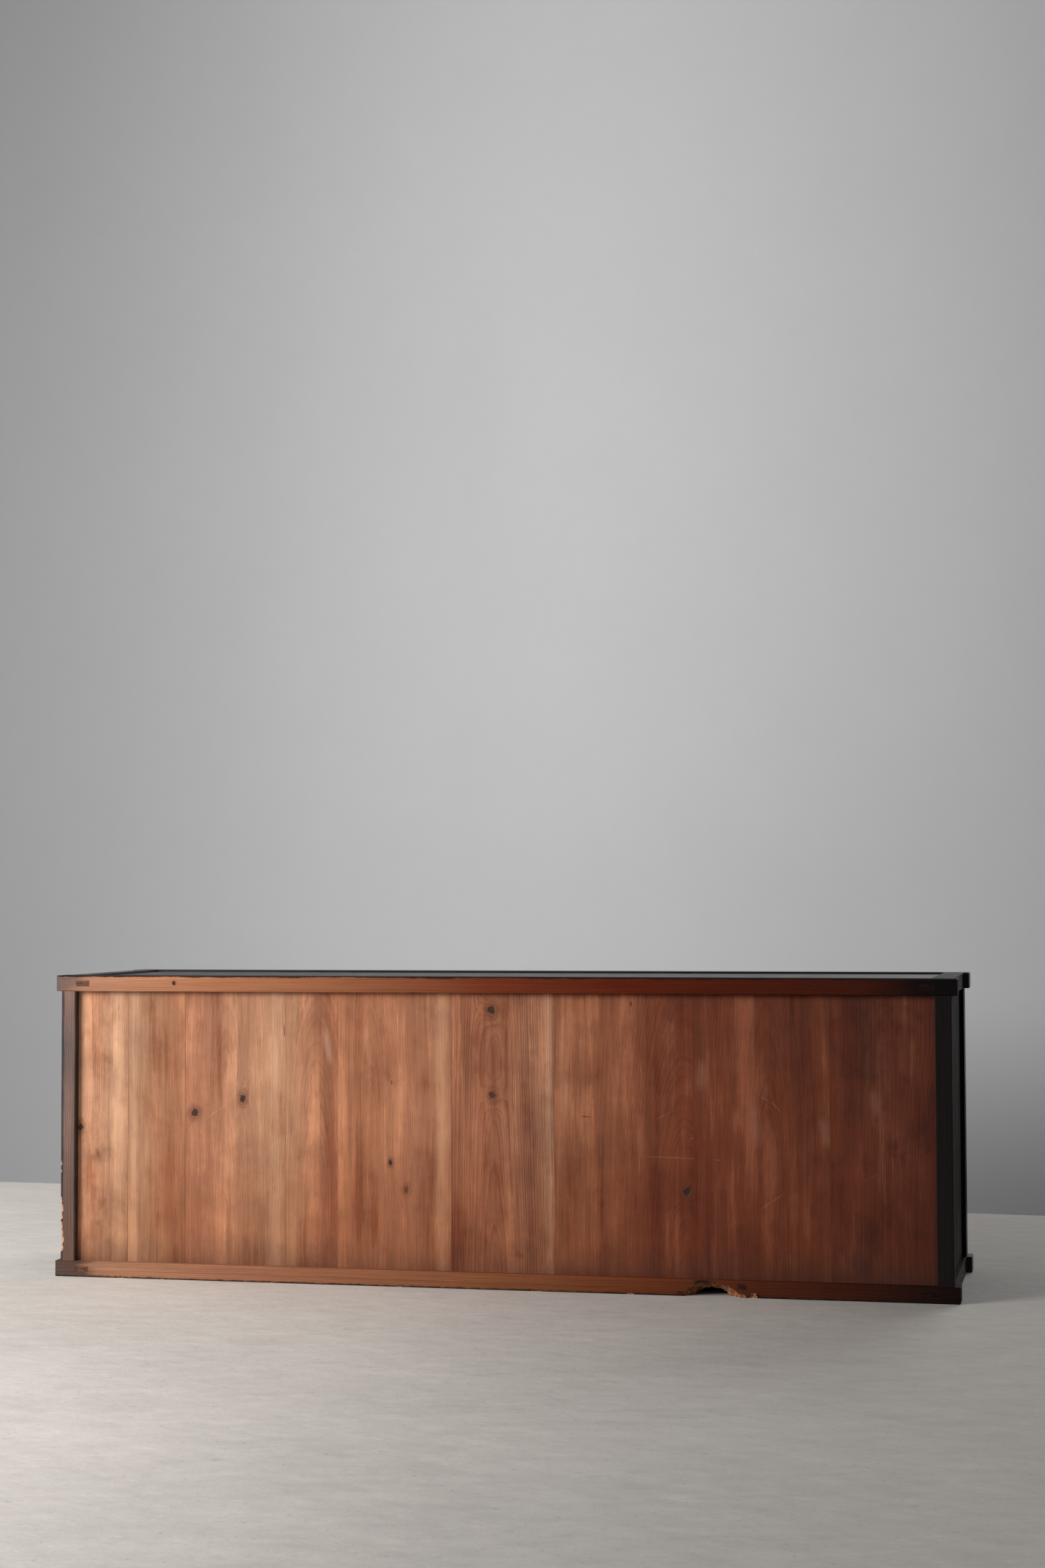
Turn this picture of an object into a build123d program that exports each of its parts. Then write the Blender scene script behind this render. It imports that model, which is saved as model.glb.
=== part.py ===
from build123d import *
import os

# A low tansu chest in millimetres: a horned frame of rails and posts, plank panels, two sliding
# ribbed doors and three drawers with iron bails. +Z is up and the front faces -Y. Left and right
# are as seen from the front. The origin is on the floor, under the middle of the whole chest.

# Carcase as a whole
body_width = 1740.0
body_depth = 460.0
body_height = 591.0

# Rails and posts of the frame
horn_length = 11.0
rail_height = 31.0
frame_thickness = 50.0
post_width = 30.0
side_rail_width = 60.0
rail_arris = 1.2

# Joints of the frame
tenon_length = 14.0
post_tenon_width = 12.0
post_tenon_depth = 24.0
through_tenon_width = 28.0
through_tenon_height = 11.0
stub_length = 10.0
stub_height = 7.0
stub_shoulder = 6.0
end_gap = 0.5
fit_gap = 0.25
overrun = 3.0

# Boards of the top, with the battens in the cupboard's bay as shares of its width
top_recess = 4.0
top_board_thickness = 12.0
top_long_lip = 11.0
top_side_lip = 22.0
top_seam_shares = (0.0, 0.31, 0.66, 1.0)
batten_width = 40.0
batten_place_shares = (0.27, 0.64)

# Boards of the back, whose seams are shares of half the clear width
back_recess = 15.0
back_thickness = 10.0
back_tongue = 7.0
back_lap = 8.0
back_seam_shares = (-0.769, -0.464, -0.148, 0.092, 0.363, 0.488, 0.733, 0.875)

# Side panels
side_recess = 8.0
side_thickness = 10.0
side_tongue = 8.0

# Floor, with the joists in the cupboard's bay as shares of its width
floor_thickness = 10.0
floor_lip = 10.0
floor_seam_shares = (0.0, 0.34, 0.69, 1.0)
joist_width = 36.0
joist_height = 18.0
joist_place_shares = (0.27, 0.64)

# Front layout
cupboard_width = 1120.0
mullion_width = 30.0
partition_thickness = 12.0
partition_tongue = 6.0

# Shelf of the cupboard
shelf_top = 300.0
shelf_thickness = 14.0
shelf_setback = 62.0
cleat_height = 22.0
cleat_depth = 20.0

# Sliding doors and their tracks
track_inset = 3.0
track_width = 10.0
high_track_depth = 14.0
low_track_depth = 4.0
door_thickness = 15.0
door_tongue = 9.0
door_gap = 2.5
door_end_gap = 0.5
door_lift = 6.0
door_shoulder_gap = 1.5
run_gap = 0.3
stile_width = 36.0
door_rail_height = 34.0
door_tenon_length = 24.0
door_tenon_thickness = 6.0
door_tenon_inset = 6.0
door_panel_thickness = 5.0
door_panel_setback = 7.0
door_panel_tongue = 6.0
rib_count = 11
rib_width = 11.0
rib_setback = 1.5
rib_crown = 1.6

# Recessed iron finger pulls
pull_length = 74.0
pull_width = 24.0
pull_flange = 5.0
pull_plate = 1.0
pull_depth = 8.5
pull_wall = 1.0
pull_centre_height = 265.0

# Drawers, from the top one down, with heights as shares of the clear height
drawer_height_shares = (0.29, 0.33, 0.38)
drawer_rail_height = 20.0
drawer_recess = 3.0
drawer_side_gap = 1.0
drawer_head_gap = 1.5
drawer_rear_gap = 2.0
drawer_front_thickness = 20.0
drawer_wall = 10.0
drawer_wall_drop = 4.0
drawer_lap = 12.0
finger_count = 5
drawer_bottom_thickness = 7.0
drawer_bottom_rise = 8.0
drawer_bottom_tongue = 5.0
drawer_arris = 1.0
runner_foot = 25.0
guide_height = 26.0

# Iron bails and the eyes that carry them
bail_span = 96.0
bail_drop = 36.0
bail_radius = 3.0
bail_shoulder = 8.0
bail_draw_in = 5.0
bail_top_bend = 4.6
bail_bottom_bend = 13.0
bail_head_radius = 4.3
bail_gap = 0.4
grip_radius = 4.2
grip_length = 62.0
eye_radius = 6.5
eye_thickness = 5.0
eye_standoff = 9.5
shank_radius = 2.1
washer_radius = 14.0
washer_rim = 1.2
washer_dome = 2.6
leg_length = 15.0
leg_width = 4.6
leg_thickness = 2.0
bail_rise_share = 0.07

# Gnawed hole in the lower back rail
gnaw_centre = 423.0
gnaw_mouth_width = 100.0
gnaw_mouth_height = 27.0
gnaw_throat_width = 57.0
gnaw_throat_height = 13.0

# Places that the sizes above give
handle_reach = eye_standoff + max(eye_radius, grip_radius) - drawer_recess
front_y = (handle_reach - body_depth) / 2
back_y = (handle_reach + body_depth) / 2
front_inner_y = front_y + frame_thickness
back_inner_y = back_y - frame_thickness
half_width = body_width / 2
post_inner_x = half_width - post_width
side_rail_inner_x = half_width - side_rail_width
head = body_height - rail_height
rail_span = (-half_width - horn_length, half_width + horn_length)
bottom_z = (0, rail_height)
top_z = (head, body_height)
front_rail_y = (front_y, front_inner_y)
back_rail_y = (back_inner_y, back_y)
inner_y = (front_inner_y, back_inner_y)
opening_z = (rail_height, head)
top_board_z = (body_height - top_recess - top_board_thickness, body_height - top_recess)
floor_z = (rail_height - floor_thickness, rail_height)
back_board_y = (back_y - back_recess - back_thickness, back_y - back_recess)
side_panel_x = (half_width - side_recess - side_thickness, half_width - side_recess)
mullion_x = (cupboard_width - post_inner_x, cupboard_width - post_inner_x + mullion_width)
partition_mid = (mullion_x[0] + mullion_x[1]) / 2
partition_x = (partition_mid - partition_thickness / 2, partition_mid + partition_thickness / 2)
cupboard_x = (-post_inner_x, mullion_x[0])
bay_x = (mullion_x[1], post_inner_x)
batten_z = (head, top_board_z[0])
joist_z = (floor_z[0] - joist_height, floor_z[0])
batten_places = [cupboard_x[0] + share * cupboard_width for share in batten_place_shares]
batten_places.append((bay_x[0] + bay_x[1]) / 2)
joist_places = [cupboard_x[0] + share * cupboard_width for share in joist_place_shares]
joist_places.extend([partition_mid, (bay_x[0] + bay_x[1]) / 2])
sides = (-1, 1)


def grown(span, amount):
    """A pair of limits, moved apart by the same amount at both ends."""
    return (span[0] - amount, span[1] + amount)


def around(centre, size):
    """The pair of limits of a size that is centred on a place."""
    return (centre - size / 2, centre + size / 2)


def block(x, y, z):
    """A box between three pairs of limits, each given in either order."""
    centre = Pos((x[0] + x[1]) / 2, (y[0] + y[1]) / 2, (z[0] + z[1]) / 2)
    return centre * Box(abs(x[1] - x[0]), abs(y[1] - y[0]), abs(z[1] - z[0]))


def eased(bar, size):
    """A bar with a fine chamfer on all its edges."""
    return chamfer(bar.edges(), size)


def tongued_plate(x, y, z, tongues, clear=0):
    """A plate that fills an opening and enters the frame around it with its tongues.

    The tongues are given for X, Y and Z, zero across the plate, and its corners are left out.
    With a clearance it is the space that the frame gives to the plate.
    """
    plate = None
    for axis, tongue in enumerate(tongues):
        if tongue > 0:
            spans = [x, y, z]
            spans = [grown(span, clear) if tongues[place] == 0 else span for place, span in enumerate(spans)]
            spans[axis] = grown(spans[axis], tongue + clear)
            arm = block(*spans)
            plate = arm if plate is None else plate + arm
    return plate


def split(span, shares):
    """Neighbouring pairs of limits that part a span at the given shares."""
    places = [span[0] + share * (span[1] - span[0]) for share in shares]
    return list(zip(places[:-1], places[1:]))


def along_x(outline, x):
    """A solid whose YZ outline runs along X between two limits."""
    return extrude(Plane.YZ.offset(x[0]) * make_face(outline), amount=x[1] - x[0])


# Spaces and joints that two pieces share

def top_well():
    """The space of the top boards, open above."""
    x = (-side_rail_inner_x - top_side_lip, side_rail_inner_x + top_side_lip)
    return block(x, grown(inner_y, top_long_lip), (top_board_z[0], body_height + overrun))


def floor_well():
    """The space of the floor boards, open above."""
    x = (-side_rail_inner_x - floor_lip, side_rail_inner_x + floor_lip)
    return block(x, grown(inner_y, floor_lip), (floor_z[0], rail_height + overrun))


def back_plate(clear=0):
    """The whole back of planks."""
    x = (-post_inner_x, post_inner_x)
    return tongued_plate(x, back_board_y, opening_z, (back_tongue, 0, back_tongue), clear)


def side_plate(side, clear=0):
    """A side panel between its posts and rails."""
    x = (side * side_panel_x[0], side * side_panel_x[1])
    x = (min(x), max(x))
    return tongued_plate(x, inner_y, opening_z, (0, side_tongue, side_tongue), clear)


def upright_tenon(x_mid, y, z_end, rise, clear=0):
    """The blind tenon of a post or mullion, above or below it."""
    z = (z_end, z_end + rise * (tenon_length + clear))
    return block(around(x_mid, post_tenon_width), around((y[0] + y[1]) / 2, post_tenon_depth), z)


def back_tenon(side, z):
    """The tenon of a side rail, which passes through the long back rail."""
    x = (side * (post_inner_x - through_tenon_width), side * post_inner_x)
    return block(x, back_rail_y, around((z[0] + z[1]) / 2, through_tenon_height))


def front_tenon(side, z, clear=0):
    """The short tenon of a side rail in the long front rail."""
    x = (side * (post_inner_x - through_tenon_width), side * post_inner_x)
    y = (front_inner_y - stub_length - clear, front_inner_y)
    return block(x, y, around((z[0] + z[1]) / 2, through_tenon_height))


def cross_stubs(places, width, z, clear=0):
    """The stub tenons of the cross pieces, in the front and the back rail."""
    stubs = []
    for place in places:
        x = grown(around(place, width), -stub_shoulder)
        y = grown(inner_y, stub_length + clear)
        stubs.append(block(x, y, around((z[0] + z[1]) / 2, stub_height)))
    return stubs


def cross_pieces(places, width, z):
    """Pieces that run from the front rail to the back rail, with a stub tenon at each end."""
    pieces = []
    for place, stub in zip(places, cross_stubs(places, width, z)):
        pieces.append(block(around(place, width), inner_y, z) + stub)
    return pieces


# Frame

def door_tracks():
    """The two grooves above and the two below the sliding doors."""
    grooves = []
    for door_y in (door_span_y(-1), door_span_y(1)):
        y = around((door_y[0] + door_y[1]) / 2, track_width)
        x = (-post_inner_x, mullion_x[0])
        grooves.append(block(x, y, (head - overrun, head + high_track_depth)))
        grooves.append(block(x, y, (rail_height - low_track_depth, rail_height + overrun)))
    return grooves


def long_rail(y, z, z_end, rise):
    """A long rail with horns past the posts and a mortise for each post."""
    rail = eased(block(rail_span, y, z), rail_arris)
    for side in sides:
        rail -= upright_tenon(side * (half_width - post_width / 2), y, z_end, rise, end_gap)
    return rail


def top_rail_back():
    rail = long_rail(back_rail_y, top_z, head, 1) - top_well() - back_plate(fit_gap)
    for side in sides:
        rail -= back_tenon(side, top_z)
    for stub in cross_stubs(batten_places, batten_width, batten_z, end_gap):
        rail -= stub
    return rail


def top_rail_front():
    rail = long_rail(front_rail_y, top_z, head, 1) - top_well()
    rail -= upright_tenon(partition_mid, front_rail_y, head, 1, end_gap)
    for side in sides:
        rail -= front_tenon(side, top_z, end_gap)
    for cut in door_tracks() + cross_stubs(batten_places, batten_width, batten_z, end_gap):
        rail -= cut
    return rail


def gnawed_hole():
    """The hole that rodents chewed through the foot of the back rail, wide outside, narrow inside."""
    half_arches = []
    for y, width, height in (
        (back_y + overrun, gnaw_mouth_width, gnaw_mouth_height),
        (back_inner_y + frame_thickness / 2, gnaw_throat_width, gnaw_throat_height),
    ):
        plane = Plane(origin=(-gnaw_centre, y, 0), x_dir=(-1, 0, 0), z_dir=(0, 1, 0))
        half_arches.append(plane * Ellipse(width / 2, height))
    mouth = loft(half_arches)
    throat = extrude(half_arches[1], amount=-frame_thickness)
    return mouth + throat


def bottom_rail_back():
    rail = long_rail(back_rail_y, bottom_z, rail_height, -1) - floor_well() - back_plate(fit_gap)
    for side in sides:
        rail -= back_tenon(side, bottom_z)
    for stub in cross_stubs(joist_places, joist_width, joist_z, end_gap):
        rail -= stub
    return rail - gnawed_hole()


def bottom_rail_front():
    rail = long_rail(front_rail_y, bottom_z, rail_height, -1) - floor_well()
    rail -= upright_tenon(partition_mid, front_rail_y, rail_height, -1, end_gap)
    for side in sides:
        rail -= front_tenon(side, bottom_z, end_gap)
    for cut in door_tracks() + cross_stubs(joist_places, joist_width, joist_z, end_gap):
        rail -= cut
    return rail


def side_rail(side, z, well):
    """A rail from front to back: through tenon behind, stub tenon in front."""
    bar = block((side * side_rail_inner_x, side * half_width), inner_y, z)
    bar = chamfer(bar.edges().filter_by(Axis.Y), rail_arris)
    bar = bar + back_tenon(side, z) + front_tenon(side, z)
    return bar - well - side_plate(side, fit_gap)


def post(side, y, z_tenons=((head, 1), (rail_height, -1))):
    """A corner post with a tenon at each end and the grooves of the panels beside it."""
    bar = block((side * post_inner_x, side * half_width), y, opening_z)
    bar = chamfer(bar.edges().filter_by(Axis.Z), rail_arris)
    for z_end, rise in z_tenons:
        bar += upright_tenon(side * (half_width - post_width / 2), y, z_end, rise)
    return bar - side_plate(side, fit_gap) - back_plate(fit_gap)


def front_post_right():
    bar = post(1, front_rail_y)
    for rail in drawer_rail_bars(end_gap):
        bar -= rail
    return bar


def front_mullion():
    """The upright between the doors and the drawers, grooved behind for the partition."""
    bar = block(mullion_x, front_rail_y, opening_z)
    bar = chamfer(bar.edges().filter_by(Axis.Z), rail_arris)
    bar += upright_tenon(partition_mid, front_rail_y, head, 1)
    bar += upright_tenon(partition_mid, front_rail_y, rail_height, -1)
    for rail in drawer_rail_bars(end_gap):
        bar -= rail
    groove_y = (front_inner_y - partition_tongue - fit_gap, front_inner_y + overrun)
    return bar - block(grown(partition_x, fit_gap), groove_y, opening_z)


# Boards and panels

def top_boards():
    """Three long boards that lie in the well of the top frame, a little below its face."""
    x = (-side_rail_inner_x - top_side_lip, side_rail_inner_x + top_side_lip)
    boards = []
    for y in split(grown(inner_y, top_long_lip), top_seam_shares):
        boards.append(block(grown(x, -fit_gap), y, top_board_z))
    return boards


def back_board(index):
    """One upright plank of the back, half lapped with its neighbours."""
    edge = post_inner_x + back_tongue + back_lap + overrun
    seams = [-edge] + [share * post_inner_x for share in back_seam_shares] + [edge]
    left, right = seams[index], seams[index + 1]
    inner, outer = grown(back_board_y, overrun)
    middle = (inner + outer) / 2
    outline = Polyline(
        (left, outer),
        (right, outer),
        (right, middle),
        (right - back_lap, middle),
        (right - back_lap, inner),
        (left - back_lap, inner),
        (left - back_lap, middle),
        (left, middle),
        close=True,
    )
    strip = extrude(make_face(outline), amount=body_height)
    return strip & back_plate()


def floor_boards():
    """Three long boards, flush with the lower rails."""
    x = (-side_rail_inner_x - floor_lip, side_rail_inner_x + floor_lip)
    return [block(grown(x, -fit_gap), y, floor_z) for y in split(grown(inner_y, floor_lip), floor_seam_shares)]


def inner_partition():
    """The board between cupboard and drawers, notched round the rails of the top."""
    outline = Polyline(
        (front_inner_y - partition_tongue, rail_height),
        (front_inner_y - partition_tongue, head),
        (front_inner_y, head),
        (front_inner_y, top_board_z[0]),
        (back_inner_y, top_board_z[0]),
        (back_inner_y, head),
        (back_board_y[0], head),
        (back_board_y[0], rail_height),
        close=True,
    )
    return along_x(outline, partition_x)


def shelf():
    """The cupboard's shelf, notched round the back post."""
    z = (shelf_top - shelf_thickness, shelf_top)
    x = (-side_panel_x[0] + fit_gap, partition_x[0] - fit_gap)
    board = block(x, (front_inner_y + shelf_setback, back_board_y[0] - fit_gap), z)
    notch = block(grown((-half_width, -post_inner_x), fit_gap), grown(back_rail_y, fit_gap), grown(z, overrun))
    return board - notch


def shelf_cleats():
    """Three cleats that carry the shelf at its ends and along the back."""
    z = (shelf_top - shelf_thickness - cleat_height, shelf_top - shelf_thickness)
    y = (front_inner_y + shelf_setback, back_inner_y)
    left = block((-side_panel_x[0], -side_panel_x[0] + cleat_depth), y, z)
    right = block((partition_x[0] - cleat_depth, partition_x[0]), y, z)
    back = block((-post_inner_x, partition_x[0]), (back_inner_y, back_board_y[0]), z)
    return [left, right, back]


# Sliding doors

def door_span_y(side):
    """Front and back face of a door: the right one runs in the front track."""
    face = front_y + track_inset
    if side < 0:
        face += door_thickness + door_gap
    return (face, face + door_thickness)


def door_span_x(side):
    """Left and right edge of a closed door: the two overlap by the width of a stile."""
    clear = (-post_inner_x + door_end_gap, mullion_x[0] - door_end_gap)
    width = (clear[1] - clear[0] + stile_width) / 2
    if side < 0:
        return (clear[0], clear[0] + width)
    return (clear[1] - width, clear[1])


door_z = (rail_height - low_track_depth + run_gap, head + high_track_depth - door_lift)
door_shoulder_z = grown(opening_z, -door_shoulder_gap)
low_door_rail_z = (door_shoulder_z[0], door_shoulder_z[0] + door_rail_height)
high_door_rail_z = (door_shoulder_z[1] - door_rail_height, door_shoulder_z[1])
door_opening_z = (low_door_rail_z[1], high_door_rail_z[0])


def door_opening_x(side):
    return grown(door_span_x(side), -stile_width)


def door_bar(side, x, z, z_tongue):
    """A door member of full thickness with the thin tongues that run in the tracks."""
    y = door_span_y(side)
    return block(x, y, z) + block(x, around((y[0] + y[1]) / 2, door_tongue), z_tongue)


def door_panel_plate(side, clear=0):
    face = door_span_y(side)[0] + door_panel_setback
    y = (face, face + door_panel_thickness)
    tongues = (door_panel_tongue, 0, door_panel_tongue)
    return tongued_plate(door_opening_x(side), y, door_opening_z, tongues, clear)


def door_tenons(side, clear=0):
    """The tenons of the door's rails, one above and one below, that enter both stiles."""
    y = door_span_y(side)
    x = grown(door_opening_x(side), door_tenon_length + clear)
    y = around((y[0] + y[1]) / 2, door_tenon_thickness)
    return [block(x, y, grown(z, -door_tenon_inset)) for z in (low_door_rail_z, high_door_rail_z)]


def door_rails(side):
    x = door_opening_x(side)
    low = door_bar(side, x, low_door_rail_z, (door_z[0], low_door_rail_z[1]))
    high = door_bar(side, x, high_door_rail_z, (high_door_rail_z[0], door_z[1]))
    rails = []
    for bar, tenon in zip((low, high), door_tenons(side)):
        rails.append(bar + tenon - door_panel_plate(side, fit_gap))
    return rails


def pull_plane(side):
    """The plane of a door's face at its outer stile, with its first axis upright."""
    edge = door_span_x(side)[0 if side < 0 else 1]
    middle = edge - side * stile_width / 2
    return Plane(origin=(middle, door_span_y(side)[0], pull_centre_height), x_dir=(0, 0, 1), z_dir=(0, -1, 0))


def pull_slot(side, inset):
    """The long rounded outline of a pull, drawn in from its rim."""
    return pull_plane(side) * SlotOverall(pull_length - 2 * inset, pull_width - 2 * inset)


def door_stiles(side):
    x = door_span_x(side)
    stiles = []
    for span in ((x[0], x[0] + stile_width), (x[1] - stile_width, x[1])):
        bar = door_bar(side, span, door_shoulder_z, door_z) - door_panel_plate(side, fit_gap)
        for tenon in door_tenons(side, end_gap):
            bar -= tenon
        stiles.append(bar)
    outer = 0 if side < 0 else 1
    pocket = extrude(pull_slot(side, pull_flange - fit_gap), amount=-pull_depth - fit_gap)
    stiles[outer] -= pocket
    return stiles


def door_ribs(side):
    """Round-nosed ribs across the panel, evenly spaced between the rails."""
    face = door_span_y(side)[0]
    root = face + door_panel_setback
    shoulder = face + rib_setback + rib_crown
    pitch = (door_opening_z[1] - door_opening_z[0]) / (rib_count + 1)
    ribs = []
    for index in range(rib_count):
        low, high = around(door_opening_z[0] + pitch * (index + 1), rib_width)
        outline = Polyline((shoulder, low), (root, low), (root, high), (shoulder, high))
        outline += ThreePointArc((shoulder, low), (shoulder - rib_crown, (low + high) / 2), (shoulder, high))
        ribs.append(along_x(outline, door_opening_x(side)))
    return ribs


def door_pull(side):
    """A recessed iron pull: a rim on the stile's face round a cup for the fingers."""
    rim = extrude(pull_slot(side, 0), amount=pull_plate)
    rim = chamfer(rim.edges().group_by(Axis.Y)[0], pull_plate / 2)
    cup = extrude(pull_slot(side, pull_flange), amount=-pull_depth)
    hollow = extrude(pull_slot(side, pull_flange + pull_wall), amount=-pull_depth + pull_wall)
    mouth = extrude(pull_slot(side, pull_flange + pull_wall), amount=pull_plate + overrun)
    return rim + cup - hollow - mouth


# Drawers

def drawer_openings():
    """The clear height of each drawer, from the top one down."""
    clear = opening_z[1] - opening_z[0] - drawer_rail_height * (len(drawer_height_shares) - 1)
    spans = []
    top = head
    for share in drawer_height_shares:
        low = top - share * clear
        spans.append((low, top))
        top = low - drawer_rail_height
    spans[-1] = (rail_height, spans[-1][1])
    return spans


def drawer_rail_bars(clear=0):
    """The rails between the drawers, with the tenons that enter the mullion and the post."""
    bars = []
    for low, high in drawer_openings()[:-1]:
        z = (low - drawer_rail_height, low)
        y = around((front_y + front_inner_y) / 2, post_tenon_depth)
        tenon = block(grown(bay_x, stub_length + clear), y, grown(z, -stub_shoulder))
        bars.append(block(bay_x, front_rail_y, z) + tenon)
    return bars


def drawer_rails():
    """The rails between the drawers, cut for the stubs of the runners."""
    bars = []
    for bar in drawer_rail_bars():
        for cut in runner_stubs(end_gap):
            bar -= cut
        bars.append(bar)
    return bars


def runner_walls():
    """The faces that the runners are fixed to and the faces that guide the drawers."""
    return ((partition_x[1], bay_x[0], 1), (side_panel_x[0], bay_x[1], -1))


def runner_stubs(clear=0):
    stubs = []
    for wall, face, inward in runner_walls():
        for low, high in drawer_openings()[:-1]:
            x = (face, face + inward * (runner_foot - stub_shoulder))
            y = (front_inner_y - stub_length - clear, front_inner_y)
            stubs.append(block(x, y, grown((low - drawer_rail_height, low), -stub_shoulder)))
    return stubs


def drawer_runners():
    """Runners of L section: the foot carries a drawer and the upright guides it.

    The bottom drawer slides on the floor boards, so it has only the upright guides.
    """
    plane = Plane(origin=(0, back_inner_y, 0), x_dir=(1, 0, 0), z_dir=(0, -1, 0))
    runners = []
    stubs = iter(runner_stubs())
    for wall, face, inward in runner_walls():
        for low, high in drawer_openings():
            crest = low + guide_height
            guide = [(face, crest), (wall, crest)]
            if low > rail_height:
                toe = face + inward * runner_foot
                foot = low - drawer_rail_height
                section = Polyline((wall, foot), (toe, foot), (toe, low), (face, low), *guide, close=True)
            else:
                section = Polyline((wall, low), (face, low), *guide, close=True)
            runner = extrude(plane * make_face(section), amount=back_inner_y - front_inner_y)
            if low > rail_height:
                runner += next(stubs)
            runners.append(runner)
    return runners


def drawer_kicker():
    """A strip beside the partition that stops the top drawer from tipping when it is open."""
    return block((partition_x[1], bay_x[0] + runner_foot), inner_y, batten_z)


def drawer_limits(index):
    """Outer limits of a drawer's box and the top of its side walls."""
    low, high = drawer_openings()[index]
    x = grown(bay_x, -drawer_side_gap)
    y = (front_y + drawer_recess, back_board_y[0] - drawer_rear_gap)
    z = (low + run_gap, high - drawer_head_gap)
    return x, y, z


def wall_z(index):
    z = drawer_limits(index)[2]
    return (z[0], z[1] - drawer_wall_drop)


def fingers(index, parity):
    """Every second part of the height of the walls, for the finger joints."""
    low, high = wall_z(index)
    pitch = (high - low) / finger_count
    spans = []
    for place in range(parity, finger_count, 2):
        spans.append((low + pitch * place, low + pitch * (place + 1)))
    return spans


def drawer_inside(index):
    """The clear plan of a drawer, between its front, sides and back."""
    x, y, z = drawer_limits(index)
    return grown(x, -drawer_wall), (y[0] + drawer_front_thickness, y[1] - drawer_wall)


def drawer_bottom(index, clear=0):
    """The bottom board, whose edges enter grooves all round."""
    x, y = drawer_inside(index)
    low = wall_z(index)[0] + drawer_bottom_rise
    tongues = (drawer_bottom_tongue, drawer_bottom_tongue, 0)
    return tongued_plate(x, y, (low, low + drawer_bottom_thickness), tongues, clear)


def drawer_side(index, side):
    """A side wall: its fingers enter the front half way and the back all through."""
    x, y, z = drawer_limits(index)
    edge = x[0] if side < 0 else x[1]
    span = (edge, edge - side * drawer_wall)
    inside_y = drawer_inside(index)[1]
    wall = block(span, inside_y, wall_z(index))
    for finger in fingers(index, 0):
        wall += block(span, (inside_y[0] - drawer_lap, inside_y[0]), finger)
        wall += block(span, (inside_y[1], y[1]), finger)
    return wall - drawer_bottom(index, fit_gap)


def drawer_back(index):
    """The back wall, whose fingers pass through the ends of the sides."""
    x, y, z = drawer_limits(index)
    inside_x, inside_y = drawer_inside(index)
    wall = block(inside_x, (inside_y[1], y[1]), wall_z(index))
    for finger in fingers(index, 1):
        wall += block(x, (inside_y[1], y[1]), finger)
    return wall - drawer_bottom(index, fit_gap)


def drawer_front(index):
    """The front board with sockets for the fingers of the sides and holes for the bail's eyes."""
    x, y, z = drawer_limits(index)
    inside_x, inside_y = drawer_inside(index)
    board = eased(block(x, (y[0], inside_y[0]), z), drawer_arris)
    for finger in fingers(index, 0):
        for socket_x in ((x[0] - overrun, inside_x[0]), (inside_x[1], x[1] + overrun)):
            board -= block(socket_x, (inside_y[0] - drawer_lap, inside_y[0] + overrun), finger)
    board -= drawer_bottom(index, fit_gap)
    for place in eye_places(index):
        hole = place * Cylinder(shank_radius + run_gap, 2 * drawer_front_thickness + 2 * eye_standoff)
        board -= hole
    return board


# Bails

def bail_centre(index):
    """The middle of a bail's hinge line."""
    x, y, z = drawer_limits(index)
    height = (z[0] + z[1]) / 2 + bail_rise_share * (z[1] - z[0])
    return (x[0] + x[1]) / 2, y[0] - eye_standoff, height


def eye_places(index):
    """Frames at the two eyes of a bail: first axis along the hinge line, third out of the drawer."""
    x, y, z = bail_centre(index)
    spots = []
    for side in sides:
        origin = (x + side * bail_span / 2, y, z)
        spots.append(Plane(origin=origin, x_dir=(1, 0, 0), z_dir=(0, -1, 0)))
    return spots


def bail(index):
    """A forged bail: pins through the eyes, arms that draw in and a swollen grip."""
    x, y, z = bail_centre(index)
    half = bail_span / 2
    pin_end = half - eye_thickness / 2 - bail_gap - bail_head_radius
    shoulder = half + bail_shoulder
    corners = [(pin_end, 0), (shoulder, 0), (shoulder - bail_draw_in, -bail_drop)]
    corners = [(-across, drop) for across, drop in corners] + list(reversed(corners))
    points = [(x + across, y, z + drop) for across, drop in corners]
    bends = [bail_top_bend, bail_bottom_bend, bail_bottom_bend, bail_top_bend]
    path = FilletPolyline(*points, radius=bends)
    rod = sweep(Plane(origin=path @ 0, z_dir=path % 0) * Circle(bail_radius), path=path)
    for side in sides:
        rod += Pos(x + side * pin_end, y, z) * Sphere(bail_head_radius)
    flank = bail_radius - fit_gap
    outline = Polyline((-grip_length / 2, flank), (-grip_length / 2, 0), (grip_length / 2, 0), (grip_length / 2, flank))
    outline += ThreePointArc((-grip_length / 2, flank), (0, grip_radius), (grip_length / 2, flank))
    grip = revolve(make_face(outline), axis=Axis.X)
    return rod + Pos(x, y, z - bail_drop) * grip


def bail_eye(place):
    """An eye on a shank that passes through the drawer front, its legs clenched flat inside."""
    ring = place * Rot(0, 90, 0) * Cylinder(eye_radius, eye_thickness)
    ring = chamfer(ring.edges(), eye_thickness / 5)
    inner_face = -eye_standoff - drawer_front_thickness
    shank_length = -inner_face + leg_thickness
    shank = place * Pos(0, 0, -shank_length / 2) * Cylinder(shank_radius, shank_length)
    legs = place * Pos(0, 0, inner_face - leg_thickness / 2) * Box(leg_width, 2 * leg_length, leg_thickness)
    hole = place * Rot(0, 90, 0) * Cylinder(bail_radius + bail_gap, 2 * eye_thickness)
    return ring + shank + legs - hole


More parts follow.
